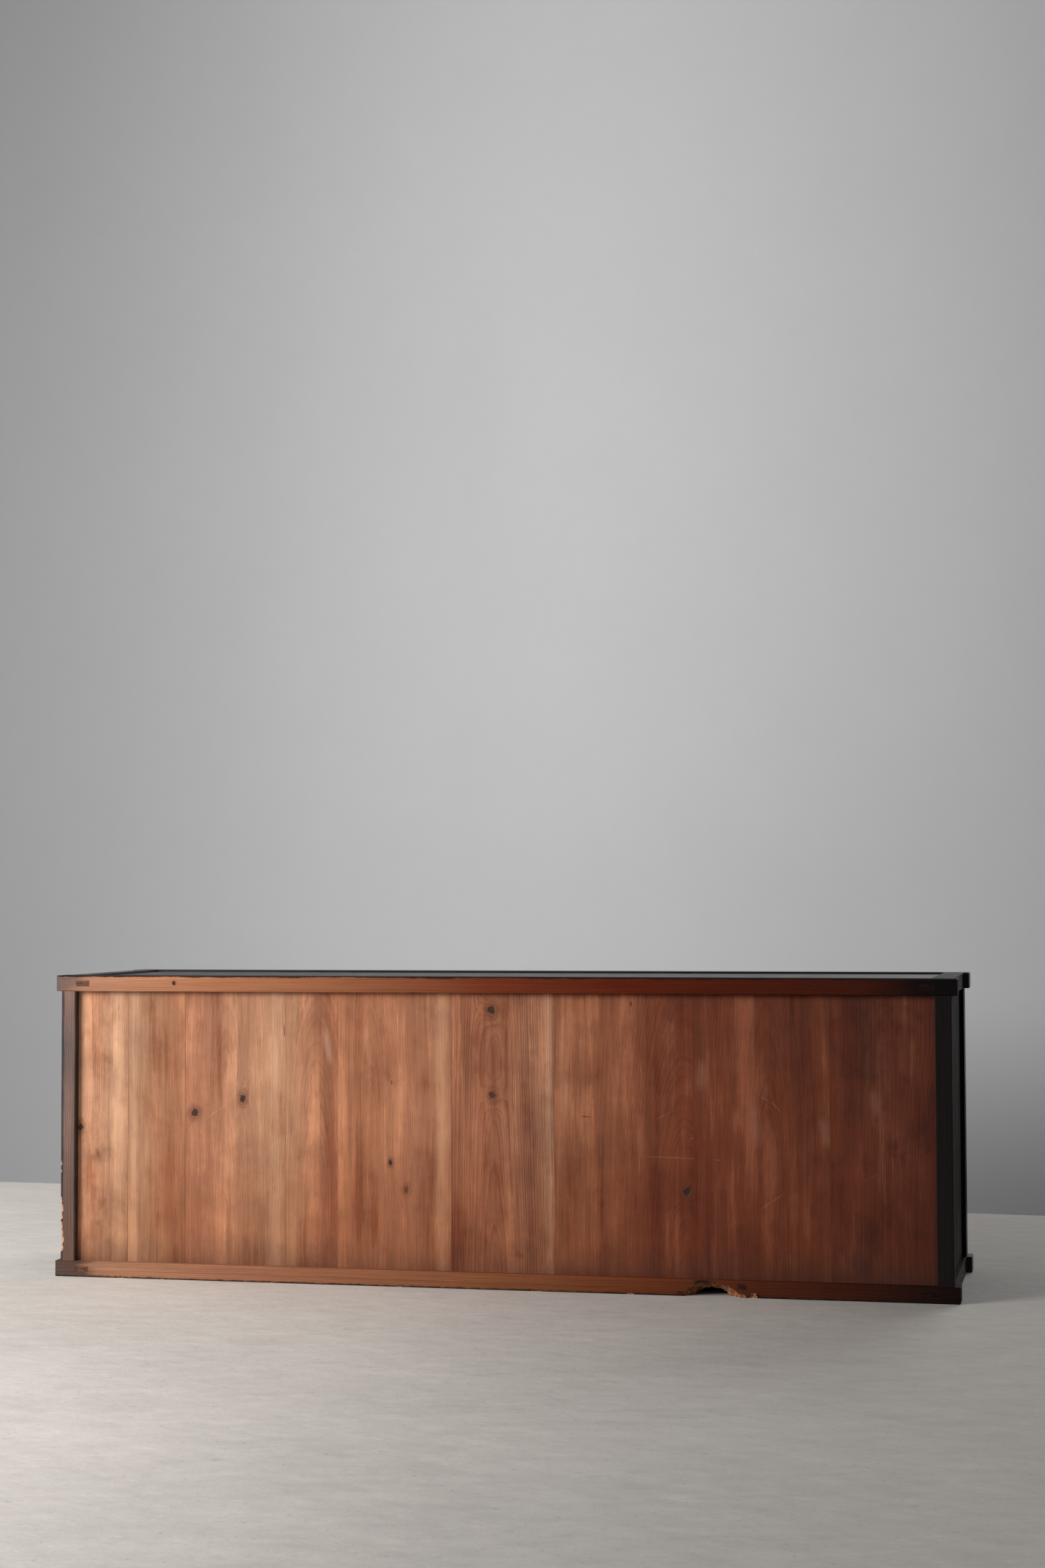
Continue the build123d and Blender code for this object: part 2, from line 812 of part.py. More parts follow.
def bail_washer(place):
    """A shallow domed washer between an eye and the drawer front."""
    bore = shank_radius + run_gap
    outline = Polyline((washer_radius, washer_rim), (washer_radius, 0), (bore, 0), (bore, washer_dome))
    outline += ThreePointArc(
        (bore, washer_dome),
        ((bore + washer_radius) / 2, (washer_rim + washer_dome + fit_gap) / 2),
        (washer_radius, washer_rim),
    )
    profile = Plane.XZ * make_face(outline)
    return place * Pos(0, 0, -eye_standoff) * revolve(profile, axis=Axis.Z)


def bail_eyes(index):
    pieces = []
    for place in eye_places(index):
        pieces.append(bail_eye(place))
        pieces.append(bail_washer(place))
    return pieces


# Writing of the pieces

def all_pieces():
    """Each named node with its list of solids."""
    pieces = {
        "top_rail_back": [top_rail_back()],
        "top_rail_front": [top_rail_front()],
        "top_rail_left": [side_rail(-1, top_z, top_well())],
        "top_rail_right": [side_rail(1, top_z, top_well())],
        "bottom_rail_back": [bottom_rail_back()],
        "bottom_rail_front": [bottom_rail_front()],
        "bottom_rail_left": [side_rail(-1, bottom_z, floor_well())],
        "bottom_rail_right": [side_rail(1, bottom_z, floor_well())],
        "post_back_left": [post(-1, back_rail_y)],
        "post_back_right": [post(1, back_rail_y)],
        "post_front_left": [post(-1, front_rail_y)],
        "post_front_right": [front_post_right()],
        "front_mullion": [front_mullion()],
        "top_boards": top_boards(),
        "top_battens": cross_pieces(batten_places, batten_width, batten_z),
        "side_panel_left": [side_plate(-1)],
        "side_panel_right": [side_plate(1)],
        "floor_boards": floor_boards(),
        "floor_joists": cross_pieces(joist_places, joist_width, joist_z),
        "inner_partition": [inner_partition()],
        "cupboard_shelf": [shelf()],
        "shelf_cleats": shelf_cleats(),
        "drawer_rails": drawer_rails(),
        "drawer_runners": drawer_runners(),
        "drawer_kicker": [drawer_kicker()],
    }
    for index in range(len(back_seam_shares) + 1):
        pieces[f"back_board_{index + 1}"] = [back_board(index)]
    for side, name in ((-1, "door_left"), (1, "door_right")):
        pieces[f"{name}_stiles"] = door_stiles(side)
        pieces[f"{name}_rails"] = door_rails(side)
        pieces[f"{name}_panel"] = [door_panel_plate(side)]
        pieces[f"{name}_ribs"] = door_ribs(side)
        pieces[f"{name}_pull"] = [door_pull(side)]
    for index in range(len(drawer_height_shares)):
        name = f"drawer_{index + 1}"
        pieces[f"{name}_front"] = [drawer_front(index)]
        pieces[f"{name}_walls"] = [drawer_side(index, -1), drawer_side(index, 1), drawer_back(index)]
        pieces[f"{name}_bottom"] = [drawer_bottom(index)]
        pieces[f"{name}_bail"] = [bail(index)]
        pieces[f"{name}_bail_eyes"] = bail_eyes(index)
    return pieces


def write_pieces():
    os.makedirs("parts", exist_ok=True)
    for name, pieces in all_pieces().items():
        solids = [solid for piece in pieces for solid in piece.solids()]
        shape = solids[0] if len(solids) == 1 else Compound(solids)
        shape.label = name
        export_step(shape, os.path.join("parts", f"{name}.step"))


write_pieces()
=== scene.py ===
"""Looks of the low tansu chest: cedar back, stained frame, lacquer, iron, light and camera.

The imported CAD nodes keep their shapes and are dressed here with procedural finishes. The pieces whose
surface the plain solid can't carry, such as the gnawed rail, are modelled again and ride on their bodies.
"""

import logging
import math
from collections.abc import Callable, Iterable, Iterator
from contextlib import contextmanager
from dataclasses import dataclass, field, replace
from enum import Enum
from typing import Union

import bpy
from mathutils import Matrix, Vector


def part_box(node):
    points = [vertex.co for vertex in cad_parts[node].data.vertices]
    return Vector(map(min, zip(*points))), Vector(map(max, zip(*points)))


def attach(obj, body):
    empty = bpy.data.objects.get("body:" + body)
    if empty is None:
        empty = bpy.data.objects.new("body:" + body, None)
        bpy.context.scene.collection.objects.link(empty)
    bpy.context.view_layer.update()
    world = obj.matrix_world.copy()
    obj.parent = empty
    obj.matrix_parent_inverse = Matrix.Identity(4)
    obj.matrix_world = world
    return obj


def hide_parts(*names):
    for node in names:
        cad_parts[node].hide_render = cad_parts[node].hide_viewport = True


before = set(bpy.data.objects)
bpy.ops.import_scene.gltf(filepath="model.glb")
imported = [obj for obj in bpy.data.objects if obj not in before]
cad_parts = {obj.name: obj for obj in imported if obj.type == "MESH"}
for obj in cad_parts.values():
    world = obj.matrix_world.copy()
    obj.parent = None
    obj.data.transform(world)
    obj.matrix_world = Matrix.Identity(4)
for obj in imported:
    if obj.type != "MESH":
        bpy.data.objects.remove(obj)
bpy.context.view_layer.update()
LOG = logging.getLogger("tansu")

Colour = tuple[float, float, float, float]
Point = tuple[float, float, float]
Spot = tuple[float, float]
Box = tuple[Point, Point]
Socket = bpy.types.NodeSocket
Piece = bpy.types.Object
Level = Union[float, "Wire"]
Tone = Union[Colour, "Wire"]

ORIGIN: Point = (0.0, 0.0, 0.0)


def tint(red: int, green: int, blue: int) -> Colour:
    """Turn a colour as a painter reads it off a screen into the light values of a shader.

    Args:
        red: Red from 0 to 255.
        green: Green from 0 to 255.
        blue: Blue from 0 to 255.

    Returns:
        The same colour in linear light, with full alpha.
    """
    parts = []
    for part in (red, green, blue):
        share = part / 255
        parts.append(share / 12.92 if share <= 0.04045 else ((share + 0.055) / 1.055) ** 2.4)
    return (parts[0], parts[1], parts[2], 1.0)


def shades(*stops: tuple[float, int, int, int]) -> tuple[tuple[float, Colour], ...]:
    """Read stops of place, red, green and blue as a run of colours."""
    return tuple((place, tint(*parts)) for place, *parts in stops)


def box_of(node: str) -> Box:
    """Give a CAD node's low and high corner."""
    low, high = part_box(node)
    return tuple(low), tuple(high)


class Wire:
    """A number or a colour inside a shader. Sums written with wires lay the nodes that work them out."""

    maths = "ShaderNodeMath"

    def __init__(self, sheet: "Sheet", socket: Socket) -> None:
        """Remember the sheet that the value is on, and its socket."""
        self.sheet = sheet
        self.socket = socket

    def calc(self, action: str, *values: object, **settings: object) -> "Wire":
        """Do one step of arithmetic.

        Args:
            action: The operation of the node.
            *values: Numbers or wires, in the node's order.
            **settings: Other properties of the node.

        Returns:
            The result.
        """
        added = self.sheet.node(self.maths, operation=action, **settings)
        self.sheet.fill(added.inputs, values)
        return type(self)(self.sheet, added.outputs[0])

    def do(self, action: str) -> "Wire":
        """Work on this value alone."""
        return self.calc(action, self)

    def __add__(self, other: object) -> "Wire":
        """Add another value."""
        return self.calc("ADD", self, other)

    def __sub__(self, other: object) -> "Wire":
        """Take another value away."""
        return self.calc("SUBTRACT", self, other)

    def __rsub__(self, other: float) -> "Wire":
        """Take this value from a number."""
        return self.calc("SUBTRACT", other, self)

    def __mul__(self, other: object) -> "Wire":
        """Multiply by another value."""
        return self.calc("MULTIPLY", self, other)

    def __truediv__(self, other: Level) -> "Wire":
        """Divide by another value."""
        return self.calc("DIVIDE", self, other)

    def __abs__(self) -> "Wire":
        """Drop the sign."""
        return self.do("ABSOLUTE")

    def least(self, other: object) -> "Wire":
        """Take the smaller of two values."""
        return self.calc("MINIMUM", self, other)

    def most(self, other: object) -> "Wire":
        """Take the larger of two values."""
        return self.calc("MAXIMUM", self, other)

    def around(self, reach: float, middle: float = 0.0) -> "Wire":
        """Turn a 0 to 1 pattern into one that swings by reach each side of middle."""
        return self.calc("MULTIPLY_ADD", self, 2 * reach, middle - reach)

    def step(
        self, low: Level, high: Level, first: float = 0.0, last: float = 1.0, course: str = "SMOOTHSTEP",
    ) -> "Wire":
        """Go from one number to another while this value goes from low to high.

        Args:
            low: Where the rise or fall begins.
            high: Where it ends.
            first: The result up to low.
            last: The result from high on.
            course: SMOOTHSTEP or LINEAR.

        Returns:
            The result.
        """
        added = self.sheet.node("ShaderNodeMapRange", interpolation_type=course, clamp=True)
        self.sheet.fill(added.inputs, (self, low, high, first, last))
        return Wire(self.sheet, added.outputs[0])

    def ramp(self, stops: Iterable[tuple[float, Colour]], course: str = "LINEAR") -> "Wire":
        """Turn a number from 0 to 1 into a colour.

        Args:
            stops: Places from 0 to 1 and their colours.
            course: How the ramp runs between them.

        Returns:
            The colour.
        """
        added = self.sheet.node("ShaderNodeValToRGB")
        added.color_ramp.interpolation = course
        marks = added.color_ramp.elements
        stops = list(stops)
        while len(marks) < len(stops):
            marks.new(0.5)
        for mark, (place, colour) in zip(marks, stops):
            mark.position = place
            mark.color = colour
        self.sheet.feed(added.inputs[0], self)
        return Wire(self.sheet, added.outputs[0])


class Arrow(Wire):
    """A place or a direction inside a shader."""

    maths = "ShaderNodeVectorMath"

    def measure(self, action: str, *others: object) -> Wire:
        """Work out a LENGTH, or the DISTANCE or DOT_PRODUCT with another arrow."""
        added = self.sheet.node(self.maths, operation=action)
        self.sheet.fill(added.inputs, (self, *others))
        return Wire(self.sheet, added.outputs["Value"])

    def scaled(self, factor: Level) -> "Arrow":
        """Scale all three parts alike."""
        added = self.sheet.node(self.maths, operation="SCALE")
        self.sheet.fill((added.inputs[0], added.inputs["Scale"]), (self, factor))
        return Arrow(self.sheet, added.outputs[0])

    def turned(self, rotation: Point) -> "Arrow":
        """Turn about the three axes."""
        added = self.sheet.node("ShaderNodeVectorRotate", rotation_type="EULER_XYZ")
        self.sheet.fill((added.inputs["Vector"], added.inputs["Rotation"]), (self, rotation))
        return Arrow(self.sheet, added.outputs[0])

    def split(self) -> tuple[Wire, ...]:
        """Take the three parts apart."""
        added = self.sheet.node("ShaderNodeSeparateXYZ")
        self.sheet.fill(added.inputs, (self,))
        return tuple(Wire(self.sheet, part) for part in added.outputs)

    def shift(self, seed: float) -> "Arrow":
        """Move a place far off, so that two surfaces don't share one pattern."""
        return self + (seed * 3.71, seed * 1.93 + 5, seed * 2.47 - 3)

    def cloud(self, scale: float | Point, detail: float = 2.0, rough: float = 0.5) -> Wire:
        """Make soft noise.

        Args:
            scale: How fine it is, all round or on each axis.
            detail: How many finer layers it has.
            rough: How strong these are.

        Returns:
            The noise, from 0 to 1.
        """
        if isinstance(scale, tuple):
            return (self * scale).cloud(1.0, detail, rough)
        added = self.sheet.node("ShaderNodeTexNoise")
        for name, value in (("Vector", self), ("Scale", scale), ("Detail", detail), ("Roughness", rough)):
            self.sheet.feed(added.inputs[name], value)
        return Wire(self.sheet, added.outputs[0])


class Sheet:
    """A shader node tree that is laid out one node at a time."""

    def __init__(self, tree: bpy.types.NodeTree) -> None:
        """Take the tree that the nodes go into."""
        self.tree = tree

    def node(self, kind: str, **settings: object) -> bpy.types.Node:
        """Add one node.

        Args:
            kind: The node's type name.
            **settings: Properties to set on it.

        Returns:
            The new node.
        """
        added = self.tree.nodes.new(kind)
        for name, value in settings.items():
            setattr(added, name, value)
        count = len(self.tree.nodes)
        added.location = (count % 14 * 200, -(count // 14) * 280)
        return added

    def feed(self, socket: Socket, value: object) -> None:
        """Link a socket to a wire, or set its own value."""
        if isinstance(value, Wire):
            self.tree.links.new(value.socket, socket)
        else:
            socket.default_value = value

    def fill(self, sockets: Iterable[Socket], values: Iterable[object]) -> None:
        """Feed sockets in their order."""
        for socket, value in zip(sockets, values):
            self.feed(socket, value)

    def join(self, *parts: Level) -> Arrow:
        """Put three numbers together."""
        added = self.node("ShaderNodeCombineXYZ")
        self.fill(added.inputs, parts)
        return Arrow(self, added.outputs[0])

    def mix(self, mask: Level, below: Tone, above: Tone, kind: str = "MIX") -> Wire:
        """Lay one colour over another.

        Args:
            mask: How much of the upper colour shows.
            below: The lower colour.
            above: The upper colour.
            kind: The blend type.

        Returns:
            The mixed colour.
        """
        added = self.node("ShaderNodeMix", data_type="RGBA", blend_type=kind)
        self.fill((added.inputs[index] for index in (0, 6, 7)), (mask, below, above))
        return Wire(self, added.outputs[2])

    def times(self, below: Tone, gain: Tone, mask: Level = 1.0) -> Wire:
        """Multiply a colour by another one, all over or where a mask is."""
        return self.mix(mask, below, gain, "MULTIPLY")

    def use(self, group: bpy.types.NodeTree, **values: object) -> list[Wire]:
        """Place a shared group with its own values, and give its outputs in order."""
        added = self.node("ShaderNodeGroup", node_tree=group)
        for name, value in values.items():
            self.feed(added.inputs[name], value)
        return [Wire(self, output) for output in added.outputs]


class Effects:
    """The shader groups that several finishes share, each built once."""

    def __init__(self) -> None:
        """Build every group."""
        self.figure = self._group(
            "wood_figure", self._figure, "Late Tone Fibre Streak", Place=ORIGIN, Heart=ORIGIN, Taper=0.05,
            Ring=0.004, Waver=0.006, Bulge=0.0, Seed=0.0,
        )
        self.knot = self._group(
            "knot", self._knot, "Bulge Core Halo Rings", Place=ORIGIN, Centre=ORIGIN, Size=0.006, Tall=1.0,
        )
        self.stroke = self._group(
            "stroke", self._stroke, "Mask", Place=ORIGIN, Start=ORIGIN, Way=(0.0, 0.0, 0.1), Width=0.002,
            Soft=0.5, Rag=0.3,
        )
        self.wear = self._group(
            "edge_wear", self._wear, "Mask", Place=ORIGIN, Low=ORIGIN, High=(1.0, 1.0, 1.0), Reach=0.002,
            Rag=0.6, Seed=0.0,
        )
        self.stain = self._group(
            "stain", self._stain, "Mask Cloud", Place=ORIGIN, Size=0.1, Level=0.5, Edge=0.1, Seed=0.0,
        )
        self.scratches = self._group(
            "scratches", self._scratches, "Mask", Place=ORIGIN, Seed=0.0, Amount=0.5,
        )

    @staticmethod
    def _group(name: str, lay: Callable, gives: str, **takes: object) -> bpy.types.NodeTree:
        """Make a group and lay its nodes.

        Args:
            name: The group's name.
            lay: The method that lays its nodes, from its sheet and its inputs in order.
            gives: The names of its outputs.
            **takes: Its inputs and their defaults. A tuple makes a vector socket.

        Returns:
            The group.
        """
        tree = bpy.data.node_groups.new(name, "ShaderNodeTree")
        for label, default in takes.items():
            kind = "NodeSocketVector" if isinstance(default, tuple) else "NodeSocketFloat"
            socket = tree.interface.new_socket(name=label, in_out="INPUT", socket_type=kind)
            socket.default_value = default
        for label in gives.split():
            tree.interface.new_socket(name=label, in_out="OUTPUT", socket_type="NodeSocketFloat")
        sheet = Sheet(tree)
        entry = sheet.node("NodeGroupInput")
        leave = sheet.node("NodeGroupOutput")
        wires = [
            (Arrow if isinstance(default, tuple) else Wire)(sheet, entry.outputs[label])
            for label, default in takes.items()
        ]
        sheet.fill(leave.inputs, lay(sheet, *wires))
        return tree

    @staticmethod
    def _figure(
        sheet: Sheet, place: Arrow, heart: Arrow, taper: Wire, ring: Wire, waver: Wire, bulge: Wire,
        seed: Wire,
    ) -> tuple[Wire, ...]:
        """Grow rings round a leaning heart, for a straight, wavy or cathedral figure on a sawn face.

        Args:
            sheet: The group's sheet.
            place: The place across the face, into the board and along the grain, in metres.
            heart: The heart's place in the same way.
            taper: How far the heart leans out of the board along the grain.
            ring: The width of a year.
            waver: How far the rings stray.
            bulge: How far knots push them.
            seed: Sets one board apart from another.

        Returns:
            Late wood, the year's own tone, fibres and broad streaks.
        """
        moved = place + sheet.join(seed * 3.7, seed, 0.0)
        slow = moved.cloud((4.0, 4.0, 1.5), 1.0)
        sway = (moved * (5.0, 9.0, 2.6)).cloud(1.3, 1.0)
        quick = moved.cloud((34.0, 34.0, 7.0))
        across, deep, along = (place - heart).split()
        side = across + slow.around(2.0) * waver
        lean = along * taper + deep + sway.around(2.0) * waver
        radius = sheet.join(side, lean, 0.0).measure("LENGTH") + bulge + quick.around(0.3) * waver
        count = radius / ring
        years = sheet.node("ShaderNodeTexNoise", noise_dimensions="1D")
        sheet.fill((years.inputs["W"], years.inputs["Scale"]), (count * 0.23 + seed, 1.0))
        count = count + Wire(sheet, years.outputs[0]).around(1.7)
        year = count.do("FRACT")
        late = year.step(0.35, 0.86) * year.step(0.88, 1.0, 1.0, 0.0)
        whole = sheet.node("ShaderNodeTexWhiteNoise", noise_dimensions="1D")
        sheet.feed(whole.inputs["W"], count.do("FLOOR") + seed)
        fibre = moved.cloud((520.0, 520.0, 16.0), 2.0, 0.6)
        streak = moved.cloud((30.0, 30.0, 1.6), 3.0, 0.55)
        return late, Wire(sheet, whole.outputs[0]), fibre, streak

    @staticmethod
    def _knot(sheet: Sheet, place: Arrow, centre: Arrow, size: Wire, tall: Wire) -> tuple[Wire, ...]:
        """Grow one knot.

        Args:
            sheet: The group's sheet.
            place: The place across, into and along the board.
            centre: The knot's middle.
            size: Its radius.
            tall: How many times longer than wide it is.

        Returns:
            How far it pushes the rings, its dark core, the stained halo round it and its own rings.
        """
        across, _deep, along = (place - centre).split()
        ragged = place.cloud(330.0).around(0.0016) + place.cloud(95.0).around(0.0052)
        gap = sheet.join(across, along / tall, 0.0).measure("LENGTH") + ragged
        far = gap / (size * 2.1)
        fall = (far * far * -1.0).do("EXPONENT")
        core = gap.step(size * 0.4, size * 0.74, 1.0, 0.0)
        halo = gap.step(size * 0.7, size * 1.9, 1.0, 0.0)
        waves = (gap / size * 15.0).do("SINE")
        return fall * (size * 1.5), core, halo, (waves * 0.5 + 0.5) * halo

    @staticmethod
    def _stroke(
        sheet: Sheet, place: Arrow, start: Arrow, way: Arrow, width: Wire, soft: Wire, rag: Wire,
    ) -> tuple[Wire]:
        """Draw a mark on a face: a scratch, a crack, a scuff or a cloudy streak.

        Args:
            sheet: The group's sheet.
            place: The place across, into and along the board.
            start: Where the mark begins.
            way: How far it runs.
            width: Its half width.
            soft: The share of the width over which it fades.
            rag: How broken up it is.

        Returns:
            Its mask.
        """
        across, _deep, along = place.split()
        spot = sheet.join(across, 0.0, along)
        apart = spot - start
        share = apart.measure("DOT_PRODUCT", way)
        share = share.calc("DIVIDE", share, way.measure("DOT_PRODUCT", way), use_clamp=True)
        gap = apart.measure("DISTANCE", way.scaled(share))
        gap = gap + spot.cloud((330.0, 1.0, 22.0), 3.0, 0.6).around(1.0) * (width * rag)
        body = gap.step(width * (1.0 - soft), width, 1.0, 0.0)
        tip = share.least(1.0 - share)
        gone = spot.cloud((60.0, 1.0, 7.0), 4.0, 0.65).around(3.0) * rag
        return (body * tip.step(0.0, 0.3) * gone.calc("ADD", 1.0, gone, use_clamp=True),)

    @staticmethod
    def _wear(
        sheet: Sheet, place: Arrow, low: Arrow, high: Arrow, reach: Wire, rag: Wire, seed: Wire,
    ) -> tuple[Wire]:
        """Rub the arrises of a box: strong on the corner, and less away from it.

        Args:
            sheet: The group's sheet.
            place: The place on the piece.
            low: The box's low corner.
            high: Its high corner.
            reach: How far from an arris the wear ends.
            rag: How uneven it is.
            seed: Sets one piece apart from another.

        Returns:
            Its mask.
        """
        one, two, three = abs(place - low).least(abs(high - place)).split()
        middle = one.least(two).most(one.most(two).least(three))
        moved = place + sheet.join(seed, 0.0, 0.0)
        noise = moved.cloud(160.0, 3.0, 0.65) * 0.6 + moved.cloud(9.0, 3.0, 0.6) * 1.4
        share = middle / reach + noise.around(1.0) * rag
        return (share.step(0.25, 1.0, 1.0, 0.0),)

    @staticmethod
    def _stain(
        sheet: Sheet, place: Arrow, size: Wire, level: Wire, edge: Wire, seed: Wire,
    ) -> tuple[Wire, Wire]:
        """Spread patches with soft or hard edges.

        Args:
            sheet: The group's sheet.
            place: The place on the piece.
            size: How long one patch is, in metres.
            level: How much stays clear.
            edge: How soft the edges are.
            seed: Sets one piece apart from another.

        Returns:
            Their mask, and the cloud that it is cut from.
        """
        scaled = place.scaled(size.calc("DIVIDE", 1.0, size))
        cloud = (scaled + sheet.join(seed, seed * 1.7, 0.0)).cloud(1.0, 4.0, 0.6)
        return cloud.step(level - edge, level + edge), cloud

    @staticmethod
    def _scratches(sheet: Sheet, place: Arrow, seed: Wire, amount: Wire) -> tuple[Wire]:
        """Scatter thin scratches in three directions, broken up so that each runs out.

        Args:
            sheet: The group's sheet.
            place: The place on the piece.
            seed: Sets one piece apart from another.
            amount: How many there are.

        Returns:
            Their mask.
        """
        parts = []
        for turn, (spin, tip) in enumerate(((0.35, 0.2), (1.3, -0.5), (2.4, 0.9))):
            turned = (place + sheet.join(seed, 1.7 * turn, 0.4)).turned((spin, tip, spin * 1.7))
            thin = abs(turned.cloud((55.0, 3.0, 3.0), 1.0) - 0.5).step(0.0, 0.012, 1.0, 0.0)
            parts.append(thin * turned.cloud(17.0, 1.0).step(0.78 - amount * 0.3, 0.8))
        return (parts[0].most(parts[1]).most(parts[2]),)


class Coat(Sheet):
    """The sheet of one material: the surface that it reads, its shell and the shared groups."""

    def __init__(self, tree: bpy.types.NodeTree, effects: Effects) -> None:
        """Lay the shell, the output and the coordinates.

        Args:
            tree: The material's tree.
            effects: The shared groups.
        """
        super().__init__(tree)
        self.effects = effects
        self.shell = self.node("ShaderNodeBsdfPrincipled")
        self.leave = self.node("ShaderNodeOutputMaterial")
        self.feed(self.leave.inputs["Surface"], Wire(self, self.shell.outputs[0]))
        where = self.node("ShaderNodeTexCoord")
        self.place = Arrow(self, where.outputs["Object"])
        self.normal = Arrow(self, where.outputs["Normal"])

    def stain(
        self, size: float, level: float, edge: float, seed: float, place: Arrow | None = None,
    ) -> list[Wire]:
        """Spread patches, and give their mask and their cloud."""
        place = place or self.place
        return self.use(self.effects.stain, Place=place, Size=size, Level=level, Edge=edge, Seed=seed)

    def wear(self, box: Box, reach: float, seed: float, rag: float = 0.6) -> Wire:
        """Rub the arrises of a box, and give the mask."""
        low, high = box
        values = {"Place": self.place, "Low": low, "High": high, "Reach": reach, "Rag": rag, "Seed": seed}
        return self.use(self.effects.wear, **values)[0]

    def surface(
        self, colour: Wire, rough: Wire, height: Wire, specular: float = 0.5, metallic: float = 0.0,
    ) -> None:
        """Feed the shell.

        Args:
            colour: The base colour.
            rough: The roughness.
            height: How far the surface rises, in metres.
            specular: The gloss, the same all over.
            metallic: How metallic it is, the same all over.
        """
        self.feed(self.shell.inputs["Base Color"], colour)
        self.feed(self.shell.inputs["Roughness"], rough)
        self.shell.inputs["Specular IOR Level"].default_value = specular
        self.shell.inputs["Metallic"].default_value = metallic
        bump = self.node("ShaderNodeBump")
        bump.inputs["Strength"].default_value = 1.0
        bump.inputs["Distance"].default_value = 1.0
        self.feed(bump.inputs["Height"], height)
        self.feed(self.shell.inputs["Normal"], Wire(self, bump.outputs[0]))


class Grain(Enum):
    """Which axes run across the face, into the wood and along the grain."""

    UPRIGHT = (0, 1, 2)
    UPRIGHT_SIDE = (1, 0, 2)
    LENGTHWISE = (2, 1, 0)
    LENGTHWISE_FLAT = (1, 2, 0)
    DEEP = (0, 2, 1)
    DEEP_UPRIGHT = (2, 0, 1)

    def turn(self, coat: Coat) -> Arrow:
        """Turn the place into across, deep and along."""
        parts = coat.place.split()
        return coat.join(*(parts[index] for index in self.value))

    def butt(self, coat: Coat) -> Wire:
        """Find the end grain: 1 on faces square to the grain."""
        return abs(coat.normal.split()[self.value[2]]).step(0.55, 0.85)


@dataclass(frozen=True)
class Knot:
    """A knot on a face, by its place across and along, in metres."""

    across: float
    along: float
    size: float
    tall: float = 1.0
    dark: float = 1.0


@dataclass(frozen=True)
class Mark:
    """A mark on a face between two places across and along, in metres."""

    start: Spot
    end: Spot
    width: float
    strength: float
    colour: Colour
    soft: float
    rag: float

    def mask(self, coat: Coat, flat: Arrow) -> Wire:
        """Draw the mark on a face.

        Args:
            coat: The sheet.
            flat: The place across, into and along the board.

        Returns:
            How strongly the mark shows.
        """
        (left, foot), (right, head) = self.start, self.end
        drawn = coat.use(
            coat.effects.stroke, Place=flat, Start=(left, 0.0, foot), Way=(right - left, 0.0, head - foot),
            Width=self.width, Soft=self.soft, Rag=self.rag,
        )
        return drawn[0] * self.strength


class Brush(Enum):
    """The kinds of mark, by the share of the width that fades and by how broken up they are."""

    GLOW = (0.97, 0.4)
    HAZE = (0.97, 0.55)
    BAND = (0.97, 0.6)
    SMUDGE = (0.9, 0.5)
    BRUISE = (0.9, 0.6)
    DRIP = (0.7, 0.5)
    INK = (0.6, 0.5)
    SHADE = (0.6, 0.6)
    LINE = (0.5, 0.6)
    HAIR = (0.5, 0.8)
    NICK = (0.5, 0.5)
    CRACK = (0.4, 0.4)
    PIT = (0.4, 0.3)

    def draw(self, colour: Colour, *rows: tuple[float, ...]) -> tuple[Mark, ...]:
        """Make marks of this kind.

        Args:
            colour: Their colour.
            *rows: Across and along of the start, the same of the end, half width and strength.

        Returns:
            The marks in order.
        """
        return tuple(
            Mark((left, foot), (right, head), width, strength, colour, *self.value)
            for left, foot, right, head, width, strength in rows
        )


@dataclass(frozen=True)
class Finish:
    """A procedural finish for a piece with a box. Each kind lays its own nodes."""

    name: str = ""
    box: Box = (ORIGIN, ORIGIN)

    def material(self, effects: Effects) -> bpy.types.Material:
        """Build the material.

        Args:
            effects: The shared groups.

        Returns:
            The finished material.
        """
        made = bpy.data.materials.new(self.name)
        made.use_nodes = True
        made.node_tree.nodes.clear()
        self.lay(Coat(made.node_tree, effects))
        return made

    def lay(self, coat: Coat) -> None:
        """Lay the nodes of this finish."""
        raise NotImplementedError


END_GRAIN = tint(38, 24, 17)
KNOT_CORE = tint(44, 32, 31)
KNOT_HALO = tint(98, 54, 36)
KNOT_RING = tint(72, 36, 22)
OLD_GRIME = tint(70, 40, 28)


